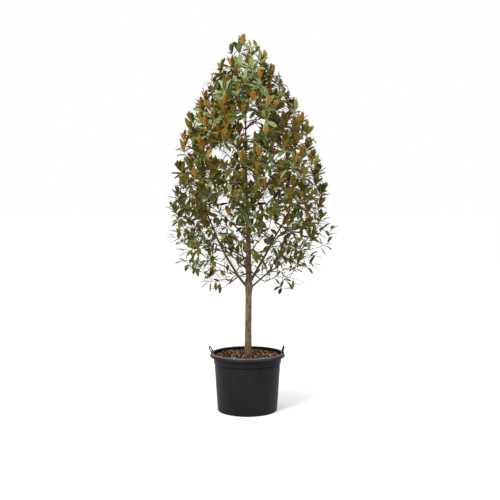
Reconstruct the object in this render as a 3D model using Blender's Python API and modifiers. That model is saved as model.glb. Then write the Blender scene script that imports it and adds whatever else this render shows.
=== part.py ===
"""A young evergreen magnolia grown as a single-trunk tree in a black nursery pot.

Metres, Z up. The origin is the centre of the pot's flat underside. +X is to the right
and +Y away from someone who looks at the tree from its front. A bearing is an angle in
degrees about Z, from +X towards +Y, so 180 is left and 270 is the front.
"""

import math
import random

import bmesh
import bpy
from mathutils import Matrix, Vector
from mathutils.bvhtree import BVHTree

# Gap left between solids that touch, and the distance under which points are one
CLEAR = 0.0003
WELD = 0.00001
SEED = 17

# Pot: a turned plastic shell with a rolled rim and a stepped collar
POT_HEIGHT = 0.457
RIM_RADIUS = 0.300
RIM_DEPTH = 0.030
RIM_ROUND = 0.008
MOUTH_RADIUS = 0.272
COLLAR_RADIUS = 0.268
COLLAR_FOOT = 0.378
STEP_HEIGHT = 0.006
BASE_RADIUS = 0.238
BASE_CHAMFER = 0.005
POT_TAPER = math.radians(3.7)
POT_WALL = 0.004
POT_FLOOR = 0.005
POT_STEPS = 32

# Pot handles: a moulded loop at each end of the rim, leaning outwards
HANDLE_SPAN = 0.110
HANDLE_RISE = 0.048
HANDLE_CORNER = 0.018
HANDLE_THICKNESS = 0.008
HANDLE_SEAT = 0.281
HANDLE_STUB = 0.006
HANDLE_SIDES = 6
HANDLE_LEANS = {"left": math.radians(31), "right": math.radians(14)}

# Root ball: potting mix and bark mulch, flat round the foot of the trunk
MULCH_HEIGHT = 0.437
MULCH_EDGE_DROP = 0.008
MULCH_FLAT_RADIUS = 0.060

# Trunk: flat cut at the mulch, root flare, swelling at the fork, tip under the top shoot
TRUNK_TOP = 2.780
TRUNK_STAND = 0.014
TRUNK_SWAY = 0.007
TRUNK_SWAY_LENGTH = 1.56
TRUNK_SIDE_SWAY = 0.006
TRUNK_SIDE_SWAY_LENGTH = 1.94
TRUNK_LEAN = 0.013
TRUNK_TIP_RADIUS = 0.003
TRUNK_GIRTH = 0.0232
TRUNK_FOOT_STRAIGHT = 0.012
FLARE = 0.0040
FLARE_HEIGHT = 0.090
FORK_HEIGHT = 0.970
FORK_SWELL = 0.0050
FORK_LENGTH = 0.050
TRUNK_POINTS = 20
TRUNK_SIDES = 10

# Crown outline: an egg from its foot to its top, a little wider on the right
CROWN_FOOT = 0.920
CROWN_TOP = 3.060
HIGHEST_TIP = 3.030
CROWN_GIRTH = 1.33
CROWN_BELLY = 0.34
CROWN_POINT = 0.80
CROWN_LOPSIDE = 0.025

# Tiers of foliage: height of the middle, distance from the trunk, bearings of the masses
TIERS = {
    "skirt": (1.140, 0.400, (20, 92, 164, 236, 308)),
    "lower": (1.410, 0.450, (345, 45, 105, 160, 222, 290)),
    "middle": (1.730, 0.430, (12, 72, 140, 197, 250, 308)),
    "upper": (2.040, 0.375, (30, 102, 174, 246, 318)),
    "high": (2.340, 0.270, (350, 62, 134, 206, 278)),
    "crest": (2.620, 0.160, (40, 130, 220, 310)),
}
TIERS_ON_BOUGHS = ("skirt", "lower", "middle", "upper")
TOP_MASS_HEIGHT = 2.870

# Rosettes in a mass of each tier, and the leaves in each of them
ROSETTES = {
    "skirt": (3, 4),
    "lower": (4, 5),
    "middle": (4, 5),
    "upper": (4, 5),
    "high": (3, 5),
    "crest": (3, 4),
    "top": (3, 5),
}
SIDES = ("right", "back_right", "back", "back_left", "left", "front_left", "front", "front_right")

# Boughs in plain sight. Each row: what carries it, the height where it leaves the trunk
# or its share of the way along the bough that carries it, then its tip's bearing, reach
# and height, its bow as a share of its length, and its thickness at the foot.
SEEN_BOUGHS = {
    "middle_left": ("trunk", 0.968, 197, 0.343, 1.600, -0.10, 0.0220),
    "skirt_left": ("middle_left", 0.24, 170, 0.300, 1.185, 0.05, 0.0110),
    "lower_left": ("trunk", 1.190, 158, 0.320, 1.325, 0.05, 0.0150),
    "middle_back_left": ("trunk", 1.345, 148, 0.350, 1.615, 0.05, 0.0140),
    "middle_right": ("trunk", 0.995, 12, 0.345, 1.580, 0.00, 0.0215),
    "lower_right": ("trunk", 0.960, 342, 0.425, 1.262, 0.03, 0.0160),
    "skirt_right": ("lower_right", 0.42, 16, 0.290, 1.080, 0.06, 0.0090),
    "lower_back_right": ("middle_right", 0.50, 38, 0.360, 1.395, 0.03, 0.0110),
    "lower_front": ("trunk", 1.232, 296, 0.300, 1.395, 0.05, 0.0130),
}

# The boughs that other foliage hides follow one rule
HIDDEN_BOUGH_SHARE = 0.55
HIDDEN_BOUGH_DROP = 0.100
HIDDEN_BOUGH_CLIMB = math.radians(47)
HIDDEN_BOUGH_BOW = 0.04
HIDDEN_BOUGH_THICKNESS = 0.65
LOWEST_BOUGH = 1.000
BOUGH_SPACING = 0.030
BOUGHS_A_TURN = 5
BOUGH_TAPER = 0.48
BOUGH_POINTS = 5
BOUGH_SIDES = 6

# Open places that show sky or bare limbs from the front. Each row: across, height, half
# the width and half the height of an oval, in the plane of the trunk.
OPENINGS = (
    (0.040, 2.285, 0.115, 0.105),
    (-0.190, 2.035, 0.125, 0.078),
    (0.232, 2.015, 0.070, 0.045),
    (-0.200, 1.660, 0.050, 0.070),
    (0.152, 1.680, 0.055, 0.085),
    (0.015, 1.180, 0.040, 0.200),
    (0.030, 0.985, 0.250, 0.090),
)
VIEWER = Vector((0.021, -6.300, 1.611))

# Long shoots that give the crown its furthest tips: bearing, reach and height
SHOOTS = (
    (0, 0.000, 2.880),
    (346, 0.640, 1.435),
    (178, 0.555, 1.385),
)

# Stems and twigs, of three sides. A stem starts as a stub and bends once on its way.
STEM_RADIUS = 0.0042
STEM_STUB = 0.014
STEM_ROOT = 0.65
STEM_SHARE = 0.50
STEM_CLIMB = 0.100
STEM_SWERVE = 0.035
STEM_THINNING = (0.95, 0.75)
TWIG_RADIUS = 0.0026
TWIG_TAPER = 0.62
TWIG_SLANT = 0.75
SLANT_WORTH = 0.25
BRANCHING_STEPS = 10

# Leaves, of eight faces, in rosettes that droop towards the crown's foot
LEAF_LENGTH = 0.168
LEAF_WIDTH = 0.089
LEAF_THICKNESS = 0.0030
LEAF_CORNERS = ((0.0, 0.0, 0.0), (0.34, 0.48, 0.5), (0.70, 0.45, -0.5), (1.0, 0.0, 0.0))
LEAF_SIZES = (0.90, 1.10)
LEAF_TILTS = (20, 70)
LEAF_TRIES = 40
TRY_TURN = 0.55
TRY_SPREAD = 0.30
TRY_SHRINK = 0.006
LEAF_FIRST = 0.004
LEAF_STEP = 0.014
DROOP = 22
DROOP_FOOT = 1.000
DROOP_HEIGHT = 0.800
LIMB_CLEAR = 0.002

# Spots for rosettes, within a leaf's overhang of the crown's outline
SPOT_TRIES = 60
SPOT_DEPTH = 0.25
SPOT_TURN = 50
SPOT_RISE = 0.24
OVERHANG = 0.62 * LEAF_LENGTH
SPACE_GAP = 0.001
GOLDEN_ANGLE = math.radians(137.5)
UP = Vector((0.0, 0.0, 1.0))


def clear_scene():
    """Start from nothing, whatever the open file holds."""
    for old in list(bpy.data.objects):
        bpy.data.objects.remove(old, do_unlink=True)


def new_collection(name):
    made = bpy.data.collections.new(name)
    bpy.context.scene.collection.children.link(made)
    return made


def new_material(name, colour, roughness):
    made = bpy.data.materials.new(name)
    made.use_nodes = True
    shader = made.node_tree.nodes["Principled BSDF"]
    shader.inputs["Base Color"].default_value = (*colour, 1.0)
    shader.inputs["Roughness"].default_value = roughness
    shader.inputs["Metallic"].default_value = 0.0
    made.diffuse_color = (*colour, 1.0)
    return made


def new_object(name, mesh, material, collection):
    made = bpy.data.objects.new(name, mesh)
    mesh.materials.clear()
    mesh.materials.append(material)
    collection.objects.link(made)
    return made


def settled(thing):
    """The object's mesh with its modifiers worked in, in the object's own coordinates."""
    depsgraph = bpy.context.evaluated_depsgraph_get()
    mesh = bpy.data.meshes.new_from_object(thing.evaluated_get(depsgraph))
    work = bmesh.new()
    work.from_mesh(mesh)
    bmesh.ops.remove_doubles(work, verts=work.verts, dist=WELD)
    work.to_mesh(mesh)
    work.free()
    return mesh


def shade_round(mesh, sharp_angle):
    mesh.shade_smooth()
    mesh.set_sharp_from_angle(angle=math.radians(sharp_angle))


def turned(name, profile, material, collection):
    """A profile of (radius, height) points turned about the pot's axis."""
    mesh = bpy.data.meshes.new(name)
    edges = [(i, i + 1) for i in range(len(profile) - 1)]
    mesh.from_pydata([(radius, 0.0, height) for radius, height in profile], edges, [])
    rough = new_object(name + "_profile", mesh, material, collection)
    screw = rough.modifiers.new("turn", "SCREW")
    screw.axis = "Z"
    screw.angle = 2 * math.pi
    screw.steps = POT_STEPS
    screw.render_steps = POT_STEPS
    screw.use_merge_vertices = True
    screw.merge_threshold = WELD
    solid = settled(rough)
    bpy.data.objects.remove(rough, do_unlink=True)
    shade_round(solid, 30)
    return new_object(name, solid, material, collection)


def limb(name, points, radii, sides, material, collection):
    """A round tapering limb through the points, closed at both ends."""
    curve = bpy.data.curves.new(name, "CURVE")
    curve.dimensions = "3D"
    curve.bevel_depth = 1.0
    curve.bevel_resolution = (sides - 4) // 2
    curve.use_fill_caps = True
    spline = curve.splines.new("POLY")
    spline.points.add(len(points) - 1)
    for knot, place, radius in zip(spline.points, points, radii):
        knot.co = (*place, 1.0)
        knot.radius = radius
    rough = bpy.data.objects.new(name + "_curve", curve)
    collection.objects.link(rough)
    solid = settled(rough)
    placed = rough.matrix_world.copy()
    bpy.data.objects.remove(rough, do_unlink=True)
    bpy.data.curves.remove(curve)
    shade_round(solid, 40)
    made = new_object(name, solid, material, collection)
    made.matrix_world = placed
    return made


def as_cutter(thing):
    thing.hide_render = True
    thing.display_type = "WIRE"
    return thing


def signed_volume(face):
    a, b, c = (corner.co for corner in face.verts)
    return a.cross(b).dot(c) / 6


def largest_piece(mesh):
    """Keep the body that holds the most, and drop scraps and sealed hollows."""
    work = bmesh.new()
    work.from_mesh(mesh)
    bmesh.ops.triangulate(work, faces=work.faces)
    seen = set()
    bodies = []
    for face in work.faces:
        if face in seen:
            continue
        seen.add(face)
        body = [face]
        for member in body:
            for edge in member.edges:
                for neighbour in edge.link_faces:
                    if neighbour not in seen:
                        seen.add(neighbour)
                        body.append(neighbour)
        bodies.append(body)
    volumes = [sum(signed_volume(face) for face in body) for body in bodies]
    best = volumes.index(max(volumes))
    spare = [face for i, body in enumerate(bodies) if i != best for face in body]
    bmesh.ops.delete(work, geom=spare, context="FACES")
    work.to_mesh(mesh)
    work.free()
    return mesh


def outer_radius(height):
    """The pot's tapered wall, outside, under the collar."""
    return BASE_RADIUS + height * math.tan(POT_TAPER)


def inner_line(gap):
    """The pot's inside from the floor up to the collar, drawn in by a gap."""
    return [
        (outer_radius(POT_FLOOR) - POT_WALL - gap, POT_FLOOR + gap),
        (outer_radius(COLLAR_FOOT) - POT_WALL - gap, COLLAR_FOOT + gap),
        (COLLAR_RADIUS - POT_WALL - gap, COLLAR_FOOT + STEP_HEIGHT + gap),
    ]


def rim_round(middle_height, first_angle):
    """Three points of the rolled rim's outer edge, from above downwards."""
    middle_radius = RIM_RADIUS - RIM_ROUND
    angles = [math.radians(first_angle - 45 * i) for i in range(3)]
    return [
        (middle_radius + RIM_ROUND * math.cos(a), middle_height + RIM_ROUND * math.sin(a))
        for a in angles
    ]


def build_pot(material, collection):
    rim_foot = POT_HEIGHT - RIM_DEPTH
    inside = [(0.0, POT_FLOOR)] + inner_line(0.0) + [(COLLAR_RADIUS - POT_WALL, rim_foot)]
    mouth = [(MOUTH_RADIUS, POT_HEIGHT)]
    rim = rim_round(POT_HEIGHT - RIM_ROUND, 90) + rim_round(rim_foot + RIM_ROUND, 0)
    wall_top = COLLAR_FOOT - STEP_HEIGHT
    outside = [
        (COLLAR_RADIUS + RIM_ROUND / 4, rim_foot),
        (COLLAR_RADIUS, COLLAR_FOOT),
        (outer_radius(wall_top), wall_top),
        (outer_radius(BASE_CHAMFER), BASE_CHAMFER),
        (BASE_RADIUS - BASE_CHAMFER, 0.0),
        (0.0, 0.0),
    ]
    return turned("pot", inside + mouth + rim + outside, material, collection)


def build_root_ball(material, collection):
    """Potting mix and bark, filling the pot to just under its rim."""
    side = inner_line(CLEAR)
    top_radius = side[-1][0]
    top = [
        (0.0, MULCH_HEIGHT),
        (MULCH_FLAT_RADIUS, MULCH_HEIGHT),
        (top_radius, MULCH_HEIGHT - MULCH_EDGE_DROP),
    ]
    bottom = [(0.0, POT_FLOOR + CLEAR)]
    return turned("root_ball", top + side[::-1] + bottom, material, collection)


def handle_outline():
    """The loop seen straight on, as (along, height) points from one foot to the other."""
    half = HANDLE_SPAN / 2
    corner = half - HANDLE_CORNER
    corner_height = HANDLE_RISE - HANDLE_CORNER
    outline = [(-half, 0.0), (-half, HANDLE_STUB)]
    for middle, first_angle in ((-corner, 180), (corner, 90)):
        for step in range(4):
            angle = math.radians(first_angle - 30 * step)
            along = middle + HANDLE_CORNER * math.cos(angle)
            outline.append((along, corner_height + HANDLE_CORNER * math.sin(angle)))
    return outline + [(half, HANDLE_STUB), (half, 0.0)]


def build_handle(side, lean, material, collection):
    """A loop that stands on the rim with its opening facing outwards."""
    way = -1.0 if side == "left" else 1.0
    points = []
    for along, height in handle_outline():
        upright = min(height, HANDLE_STUB)
        leant = height - upright
        across = HANDLE_SEAT + leant * math.sin(lean)
        up = POT_HEIGHT + CLEAR + upright + leant * math.cos(lean)
        points.append((way * across, along, up))
    radii = [HANDLE_THICKNESS / 2] * len(points)
    return limb("pot_handle_" + side, points, radii, HANDLE_SIDES, material, collection)


def trunk_place(height):
    """The middle of the trunk at a height."""
    rise = height - MULCH_HEIGHT
    sway = -TRUNK_SWAY * math.cos(2 * math.pi * rise / TRUNK_SWAY_LENGTH)
    side_sway = TRUNK_SIDE_SWAY * math.sin(math.pi * rise / TRUNK_SIDE_SWAY_LENGTH)
    return Vector((TRUNK_STAND + sway - TRUNK_LEAN * rise, side_sway, height))


def trunk_radius(height):
    share = (height - MULCH_HEIGHT) / (TRUNK_TOP - MULCH_HEIGHT)
    taper = TRUNK_TIP_RADIUS + TRUNK_GIRTH * (1 + math.cos(math.pi * min(share, 1.0))) / 2
    flare = FLARE * math.exp(-(height - MULCH_HEIGHT) / FLARE_HEIGHT)
    fork = FORK_SWELL * math.exp(-(((height - FORK_HEIGHT) / FORK_LENGTH) ** 2))
    return taper + flare + fork


def build_trunk(name, extra, material, collection):
    """The trunk, or with extra thickness the tool that shapes the boughs' feet."""
    foot = MULCH_HEIGHT + CLEAR
    second = foot + TRUNK_FOOT_STRAIGHT
    rings = TRUNK_POINTS - 1
    heights = [foot] + [second + (TRUNK_TOP - second) * i / (rings - 1) for i in range(rings)]
    points = [trunk_place(height) for height in heights]
    points[0].xy = points[1].xy
    radii = [trunk_radius(height) + extra for height in heights]
    return limb(name, points, radii, TRUNK_SIDES, material, collection)


def polar(bearing, reach, height):
    turn = math.radians(bearing)
    return Vector((reach * math.cos(turn), reach * math.sin(turn), height))


def side_name(bearing):
    return SIDES[round(bearing / 45) % len(SIDES)]


def even_shares():
    return [i / (BOUGH_POINTS - 1) for i in range(BOUGH_POINTS)]


def bough_course(start, tip, bow):
    """A bowed line from start to tip, as points at even steps."""
    rise = 2 * bow * (tip - start).length
    middle = (start + tip) / 2 + UP * rise
    return [start * (1 - s) ** 2 + middle * 2 * s * (1 - s) + tip * s**2 for s in even_shares()]


def along_course(points, share):
    """The place a share of the way along a row of points."""
    spot = share * (len(points) - 1)
    index = min(int(spot), len(points) - 2)
    return points[index].lerp(points[index + 1], spot - index)


def hidden_bough(home, order):
    """The row of a bough that leads to a mass from inside the crown."""
    bearing, reach, height = home
    tip_reach = reach * HIDDEN_BOUGH_SHARE
    tip_height = height - HIDDEN_BOUGH_DROP
    foot = tip_height - tip_reach * math.tan(HIDDEN_BOUGH_CLIMB)
    foot = max(foot, LOWEST_BOUGH + BOUGH_SPACING * order)
    bow = HIDDEN_BOUGH_BOW * (1 if order % 2 else -1)
    thickness = HIDDEN_BOUGH_THICKNESS * trunk_radius(foot)
    return ("trunk", foot, bearing, tip_reach, tip_height, bow, thickness)


def bough_rows(homes):
    """A row for every bough, with those in plain sight first."""
    rows = dict(SEEN_BOUGHS)
    for order, (name, home) in enumerate(homes.items()):
        if name not in rows and tier_of(name) in TIERS_ON_BOUGHS:
            rows[name] = hidden_bough(home, order % BOUGHS_A_TURN)
    return rows


def build_boughs(homes, material, collection, cutters):
    """Every bough, its foot shaped to what carries it. Returns courses and limbs."""
    shapers = {"trunk": as_cutter(build_trunk("trunk_shaper", CLEAR, material, cutters))}
    courses = {}
    boughs = []
    for name, row in bough_rows(homes).items():
        carrier, foot, bearing, reach, height, bow, thickness = row
        if carrier == "trunk":
            start = trunk_place(foot)
        else:
            start = along_course(courses[carrier], foot)
        points = bough_course(start, polar(bearing, reach, height), bow)
        radii = [thickness / 2 * (1 - (1 - BOUGH_TAPER) * s) for s in even_shares()]
        bough = limb("bough_" + name, points, radii, BOUGH_SIDES, material, collection)
        shape = bough.modifiers.new("foot", "BOOLEAN")
        shape.operation = "DIFFERENCE"
        shape.object = shapers[carrier]
        bough.data = largest_piece(settled(bough))
        bough.modifiers.clear()
        fat = [radius + CLEAR for radius in radii]
        shaper = limb("shaper_" + name, points, fat, BOUGH_SIDES, material, cutters)
        shapers[name] = as_cutter(shaper)
        courses[name] = points
        boughs.append(bough)
    return courses, boughs


def crown_reach(height, bearing):
    """How far the crown reaches from its middle at a height."""
    share = (height - CROWN_FOOT) / (CROWN_TOP - CROWN_FOOT)
    if not 0.0 < share < 1.0:
        return 0.0
    egg = CROWN_GIRTH * share**CROWN_BELLY * (1 - share) ** CROWN_POINT
    return egg + CROWN_LOPSIDE * math.cos(math.radians(bearing))


def crown_depth(place):
    """How deep inside the crown's outline a place lies."""
    bearing = math.degrees(math.atan2(place.y, place.x))
    return crown_reach(place.z, bearing) - math.hypot(place.x, place.y)


def in_opening(place):
    """Whether someone at the front sees the place in one of the crown's open places."""
    scale = -VIEWER.y / (place.y - VIEWER.y)
    seen = VIEWER + (place - VIEWER) * scale
    for across, height, half_width, half_height in OPENINGS:
        if ((seen.x - across) / half_width) ** 2 + ((seen.z - height) / half_height) ** 2 < 1.0:
            return True
    return False


def mass_homes():
    """Bearing, reach and height of the middle of each mass, by its name."""
    homes = {}
    for tier, (height, reach, bearings) in TIERS.items():
        for bearing in bearings:
            homes[tier + "_" + side_name(bearing)] = (bearing, reach, height)
    homes["top"] = (0.0, 0.0, TOP_MASS_HEIGHT)
    return homes


def tier_of(name):
    return name.split("_")[0]


class Space:
    """The room that one mass may fill: nearer to its middle than to any other's."""

    def __init__(self, home, middles):
        self.middle = middles[home]
        self.walls = []
        for name, other in middles.items():
            if name != home:
                normal = other - self.middle
                self.walls.append((normal.normalized(), normal.length / 2 - SPACE_GAP / 2))

    def holds(self, places):
        steps = [place - self.middle for place in places]
        return all(step.dot(normal) <= limit for step in steps for normal, limit in self.walls)


def random_place(home, chance):
    """A place for a rosette in the leafy outer part of the crown near a mass's middle."""
    bearing, reach, height = home
    turn = SPOT_TURN if reach else 180.0
    bearing += chance.uniform(-turn, turn)
    height = min(height + chance.uniform(-SPOT_RISE, SPOT_RISE), HIGHEST_TIP - OVERHANG)
    outer = max(crown_reach(height, bearing) - OVERHANG, OVERHANG / 5)
    return polar(bearing, outer * math.sqrt(chance.uniform(SPOT_DEPTH, 1.0)), height)


def spread_spots(homes, spaces, chance):
    """Evenly spread places for each mass's rosettes, each the roomiest of several tries."""
    spots = {name: [] for name in homes}
    taken = [polar(*shoot) for shoot in SHOOTS]
    for shoot in taken:
        spots[next(name for name in homes if spaces[name].holds([shoot]))].append(shoot)
    for turn in range(max(count for count, _ in ROSETTES.values())):
        for name, home in homes.items():
            if len(spots[name]) > turn or turn >= ROSETTES[tier_of(name)][0]:
                continue
            best = None
            best_room = 0.0
            for _ in range(SPOT_TRIES):
                place = random_place(home, chance)
                if in_opening(place) or not spaces[name].holds([place]):
                    continue
                room = min((place - other).length for other in taken)
                if room > best_room:
                    best, best_room = place, room
            if best is not None:
                spots[name].append(best)
                taken.append(best)
    return spots


def axes_along(direction, upper):
    """Axes for a leaf or twig: Z along the direction, Y towards the upper side."""
    ahead = direction.normalized()
    above = upper - ahead * upper.dot(ahead)
    if above.length < WELD:
        above = ahead.orthogonal()
    above.normalize()
    side = above.cross(ahead)
    return Matrix((side, above, ahead)).transposed().to_4x4()


def unit_leaf():
    """A leaf one unit long, wide and thick, with its root at the origin and its tip at +Z.

    Its outline has six corners. Those at its sides lie above and below its middle by
    turns, so that the hull round all six is a thin blade of eight faces.
    """
    work = bmesh.new()
    for along, half_width, lift in LEAF_CORNERS:
        for way in ((1, -1) if half_width else (1,)):
            work.verts.new((way * half_width, way * lift, along))
    bmesh.ops.convex_hull(work, input=work.verts)
    bmesh.ops.recalc_face_normals(work, faces=work.faces)
    mesh = bpy.data.meshes.new("unit_leaf")
    work.to_mesh(mesh)
    work.free()
    return mesh


def unit_twig():
    """A three-sided tapering twig one unit long, standing on the origin."""
    work = bmesh.new()
    bmesh.ops.create_cone(
        work, cap_ends=True, segments=3, radius1=1.0, radius2=TWIG_TAPER, depth=1.0
    )
    bmesh.ops.translate(work, verts=work.verts, vec=(0.0, 0.0, 0.5))
    mesh = bpy.data.meshes.new("unit_twig")
    work.to_mesh(mesh)
    work.free()
    return mesh


def placed_twig(start, end, radius):
    size = Matrix.Diagonal((radius, radius, (end - start).length, 1.0))
    return Matrix.Translation(start) @ axes_along(end - start, UP) @ size


def placed_leaf(root, direction, upper, scale):
    size = Matrix.Diagonal((LEAF_WIDTH * scale, LEAF_THICKNESS, LEAF_LENGTH * scale, 1.0))
    return Matrix.Translation(root) @ axes_along(direction, upper) @ size


def search_tree(mesh, matrix, swell):
    """A search tree over a small shape in its place, made a little larger all round."""
    places = [matrix @ corner.co for corner in mesh.vertices]
    middle = sum(places, Vector()) / len(places)
    swollen = [place + (place - middle).normalized() * swell for place in places]
    return BVHTree.FromPolygons(swollen, [list(face.vertices) for face in mesh.polygons])


def solid_tree(things):
    """A search tree over the faces of some solids."""
    corners = []
    faces = []
    for thing in things:
        first = len(corners)
        corners += [thing.matrix_world @ corner.co for corner in thing.data.vertices]
        faces += [[first + i for i in face.vertices] for face in thing.data.polygons]
    return BVHTree.FromPolygons(corners, faces)


class Mass:
    """One mass while it grows: its twigs and leaves, and what they keep clear of."""

    def __init__(self, space, leaf_count, limbs, shapes, chance):
        self.space = space
        self.leaf_count = leaf_count
        self.limbs = limbs
        self.leaf, self.twig = shapes
        self.chance = chance
        self.pieces = []
        self.trees = []

    def add(self, mesh, matrix):
        self.pieces.append((mesh, matrix))
        self.trees.append(search_tree(mesh, matrix, 0.0))

    def drop_last(self):
        self.pieces.pop()
        self.trees.pop()

    def fits(self, mesh, matrix):
        """Whether the shape keeps to its space and off the limbs."""
        if not self.space.holds([matrix @ corner.co for corner in mesh.vertices]):
            return False
        return not self.limbs.overlap(search_tree(mesh, matrix, LIMB_CLEAR))

    def stands_free(self, mesh, matrix, joined):
        """Whether the shape meets no twig or leaf of its mass except what it joins."""
        own = search_tree(mesh, matrix, 0.0)
        return not any(own.overlap(tree) for tree in self.trees if tree is not joined)

    def grow_stem(self, start, heading, radius, spots):
        """A stub and a bent stem to the furthest spot that it has a clear way to."""
        root = start + heading * STEM_STUB * STEM_ROOT
        lower_radius, upper_radius = (radius * share for share in STEM_THINNING)
        sideways = heading.orthogonal().normalized() * STEM_SWERVE
        self.add(self.twig, placed_twig(start, start + heading * STEM_STUB, radius))
        for lead in sorted(spots, key=lambda spot: (spot - start).dot(heading), reverse=True):
            for shift in (0, 1, -1):
                bend = root.lerp(lead, 0.5) + heading * STEM_SWERVE / 2 + sideways * shift
                overlap = (root - bend).normalized() * radius
                lower = placed_twig(root, bend, lower_radius)
                upper = placed_twig(bend + overlap, lead, upper_radius)
                if self.fits(self.twig, lower) and self.fits(self.twig, upper):
                    self.add(self.twig, lower)
                    self.add(self.twig, upper)
                    return (root, bend, lead)
        raise ValueError("no room for a stem")

    def tried_leaf(self, root, axis, order, attempt):
        """A chance place for a leaf: the first of a rosette stands steep, the last flat."""
        chance = self.chance
        swing = GOLDEN_ANGLE * order + TRY_TURN * attempt
        swing += chance.uniform(-TRY_SPREAD, TRY_SPREAD)
        droop = DROOP * (1.0 - min(max((root.z - DROOP_FOOT) / DROOP_HEIGHT, 0.0), 1.0))
        steep, flat = LEAF_TILTS
        share = (order + chance.random()) / self.leaf_count
        tilt = math.radians(steep + (flat - steep) * share + chance.uniform(0, attempt) + droop)
        outward = Matrix.Rotation(swing, 3, axis) @ axis.orthogonal().normalized()
        ahead = axis * math.cos(tilt) + outward * math.sin(tilt)
        scale = chance.uniform(*LEAF_SIZES) * (1 - TRY_SHRINK * attempt)
        return placed_leaf(root, ahead, axis, scale)

    def inside_crown(self, matrix, end):
        """Whether a leaf keeps to the crown's outline and out of its open places."""
        tip = matrix @ UP
        outside = crown_depth(tip) < 0.0 and crown_depth(end) > LEAF_LENGTH / 3
        return not outside and tip.z < HIGHEST_TIP and not in_opening(matrix @ (UP / 2))

    def grow_leaves(self, start, end):
        """A rosette at the end of the twig that was grown last. Returns how many leaves."""
        axis = (end - start).normalized()
        twig = self.trees[-1]
        count = 0
        for order in range(self.leaf_count):
            root = end - axis * (LEAF_FIRST + LEAF_STEP * order)
            chosen = None
            for attempt in range(LEAF_TRIES):
                matrix = self.tried_leaf(root, axis, order, attempt)
                if self.inside_crown(matrix, end) and self.fits(self.leaf, matrix):
                    chosen = chosen or matrix
                    if self.stands_free(self.leaf, matrix, twig):
                        chosen = matrix
                        break
            if chosen:
                self.add(self.leaf, chosen)
                count += 1
        return count

    def grow_twig(self, stem, spot):
        """A twig with its leaves from the stem to a spot, where there is room for them."""
        branching = branching_place(stem, spot)
        matrix = placed_twig(branching, spot, TWIG_RADIUS)
        if self.fits(self.twig, matrix):
            self.add(self.twig, matrix)
            if not self.grow_leaves(branching, spot):
                self.drop_last()


def stem_place(stem, share):
    """The place a share of the way along a bent stem."""
    start, bend, end = stem
    if share < 0.5:
        return start.lerp(bend, share * 2)
    return bend.lerp(end, share * 2 - 1)


def branching_place(stem, spot):
    """Where a twig to the spot leaves the stem, so that it slants forwards."""
    best = None
    best_cost = math.inf
    for i in range(1, BRANCHING_STEPS):
        place = stem_place(stem, i / BRANCHING_STEPS)
        ahead = (stem_place(stem, (i + 0.5) / BRANCHING_STEPS) - place).normalized()
        way = spot - place
        cost = way.length + SLANT_WORTH * abs(way.normalized().dot(ahead) - TWIG_SLANT)
        if cost < best_cost:
            best, best_cost = place, cost
    return best


def fused(name, pieces, material, collection):
    """One Boolean union of the pieces, each a mesh and its place."""
    growth = new_collection("growth")
    things = []
    for mesh, matrix in pieces:
        thing = bpy.data.objects.new("piece", mesh)
        thing.matrix_world = matrix
        things.append(thing)
    first = things[0]
    collection.objects.link(first)
    for thing in things[1:]:
        growth.objects.link(thing)
    union = first.modifiers.new("union", "BOOLEAN")
    union.operation = "UNION"
    union.operand_type = "COLLECTION"
    union.collection = growth
    mesh = settled(first)
    mesh.transform(first.matrix_world)
    for thing in things:
        bpy.data.objects.remove(thing, do_unlink=True)
    bpy.data.collections.remove(growth)
    return new_object(name, largest_piece(mesh), material, collection)


def trunk_side(trunk_faces, bearing, height):
    """A place just clear of the trunk's side, and the way straight out from it."""
    outward = polar(bearing, 1.0, 0.0)
    far = trunk_place(height) + outward * 3 * trunk_radius(height)
    place, normal, _, _ = trunk_faces.ray_cast(far, -outward)
    return place + normal * CLEAR, normal


def stem_on_trunk(trunk_faces, bearing, height, space):
    """The lowest place on the trunk's side where a stem keeps to its own space."""
    while True:
        start, heading = trunk_side(trunk_faces, bearing, height)
        radius = min(STEM_RADIUS, STEM_SHARE * trunk_radius(height))
        across = heading.cross(UP).normalized() * radius
        upwards = UP * radius
        corners = [start + across, start - across, start + upwards, start - upwards]
        if space.holds(corners + [start + heading * STEM_STUB]):
            return start, heading, radius
        height += STEM_STUB


def build_tree(materials, collection, cutters):
    homes = mass_homes()
    middles = {}
    for name, (bearing, reach, height) in homes.items():
        middles[name] = trunk_place(height - STEM_CLIMB) + polar(bearing, reach, STEM_CLIMB)
    trunk = build_trunk("trunk", 0.0, materials["bark"], collection)
    courses, boughs = build_boughs(homes, materials["bark"], collection, cutters)
    limbs = solid_tree([trunk] + boughs)
    trunk_faces = solid_tree([trunk])
    shapes = (unit_leaf(), unit_twig())
    spaces = {name: Space(name, middles) for name in homes}
    spots = spread_spots(homes, spaces, random.Random(SEED))
    for order, (name, (bearing, _, height)) in enumerate(homes.items()):
        space = spaces[name]
        if name in courses:
            tip = courses[name][-1]
            heading = (tip - courses[name][-2]).normalized()
            foot = (tip + heading * CLEAR, heading, STEM_RADIUS)
        elif name == "top":
            foot = (trunk_place(TRUNK_TOP) + UP * CLEAR, UP, TRUNK_TIP_RADIUS)
        else:
            foot = stem_on_trunk(trunk_faces, bearing, height - STEM_CLIMB, space)
        leaf_count = ROSETTES[tier_of(name)][1]
        mass = Mass(space, leaf_count, limbs, shapes, random.Random(SEED + order))
        stem = mass.grow_stem(*foot, spots[name])
        mass.grow_leaves(stem[1], stem[2])
        for spot in spots[name]:
            if spot is not stem[2]:
                mass.grow_twig(stem, spot)
        fused("foliage_" + name, mass.pieces, materials["leaves"], collection)


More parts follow.
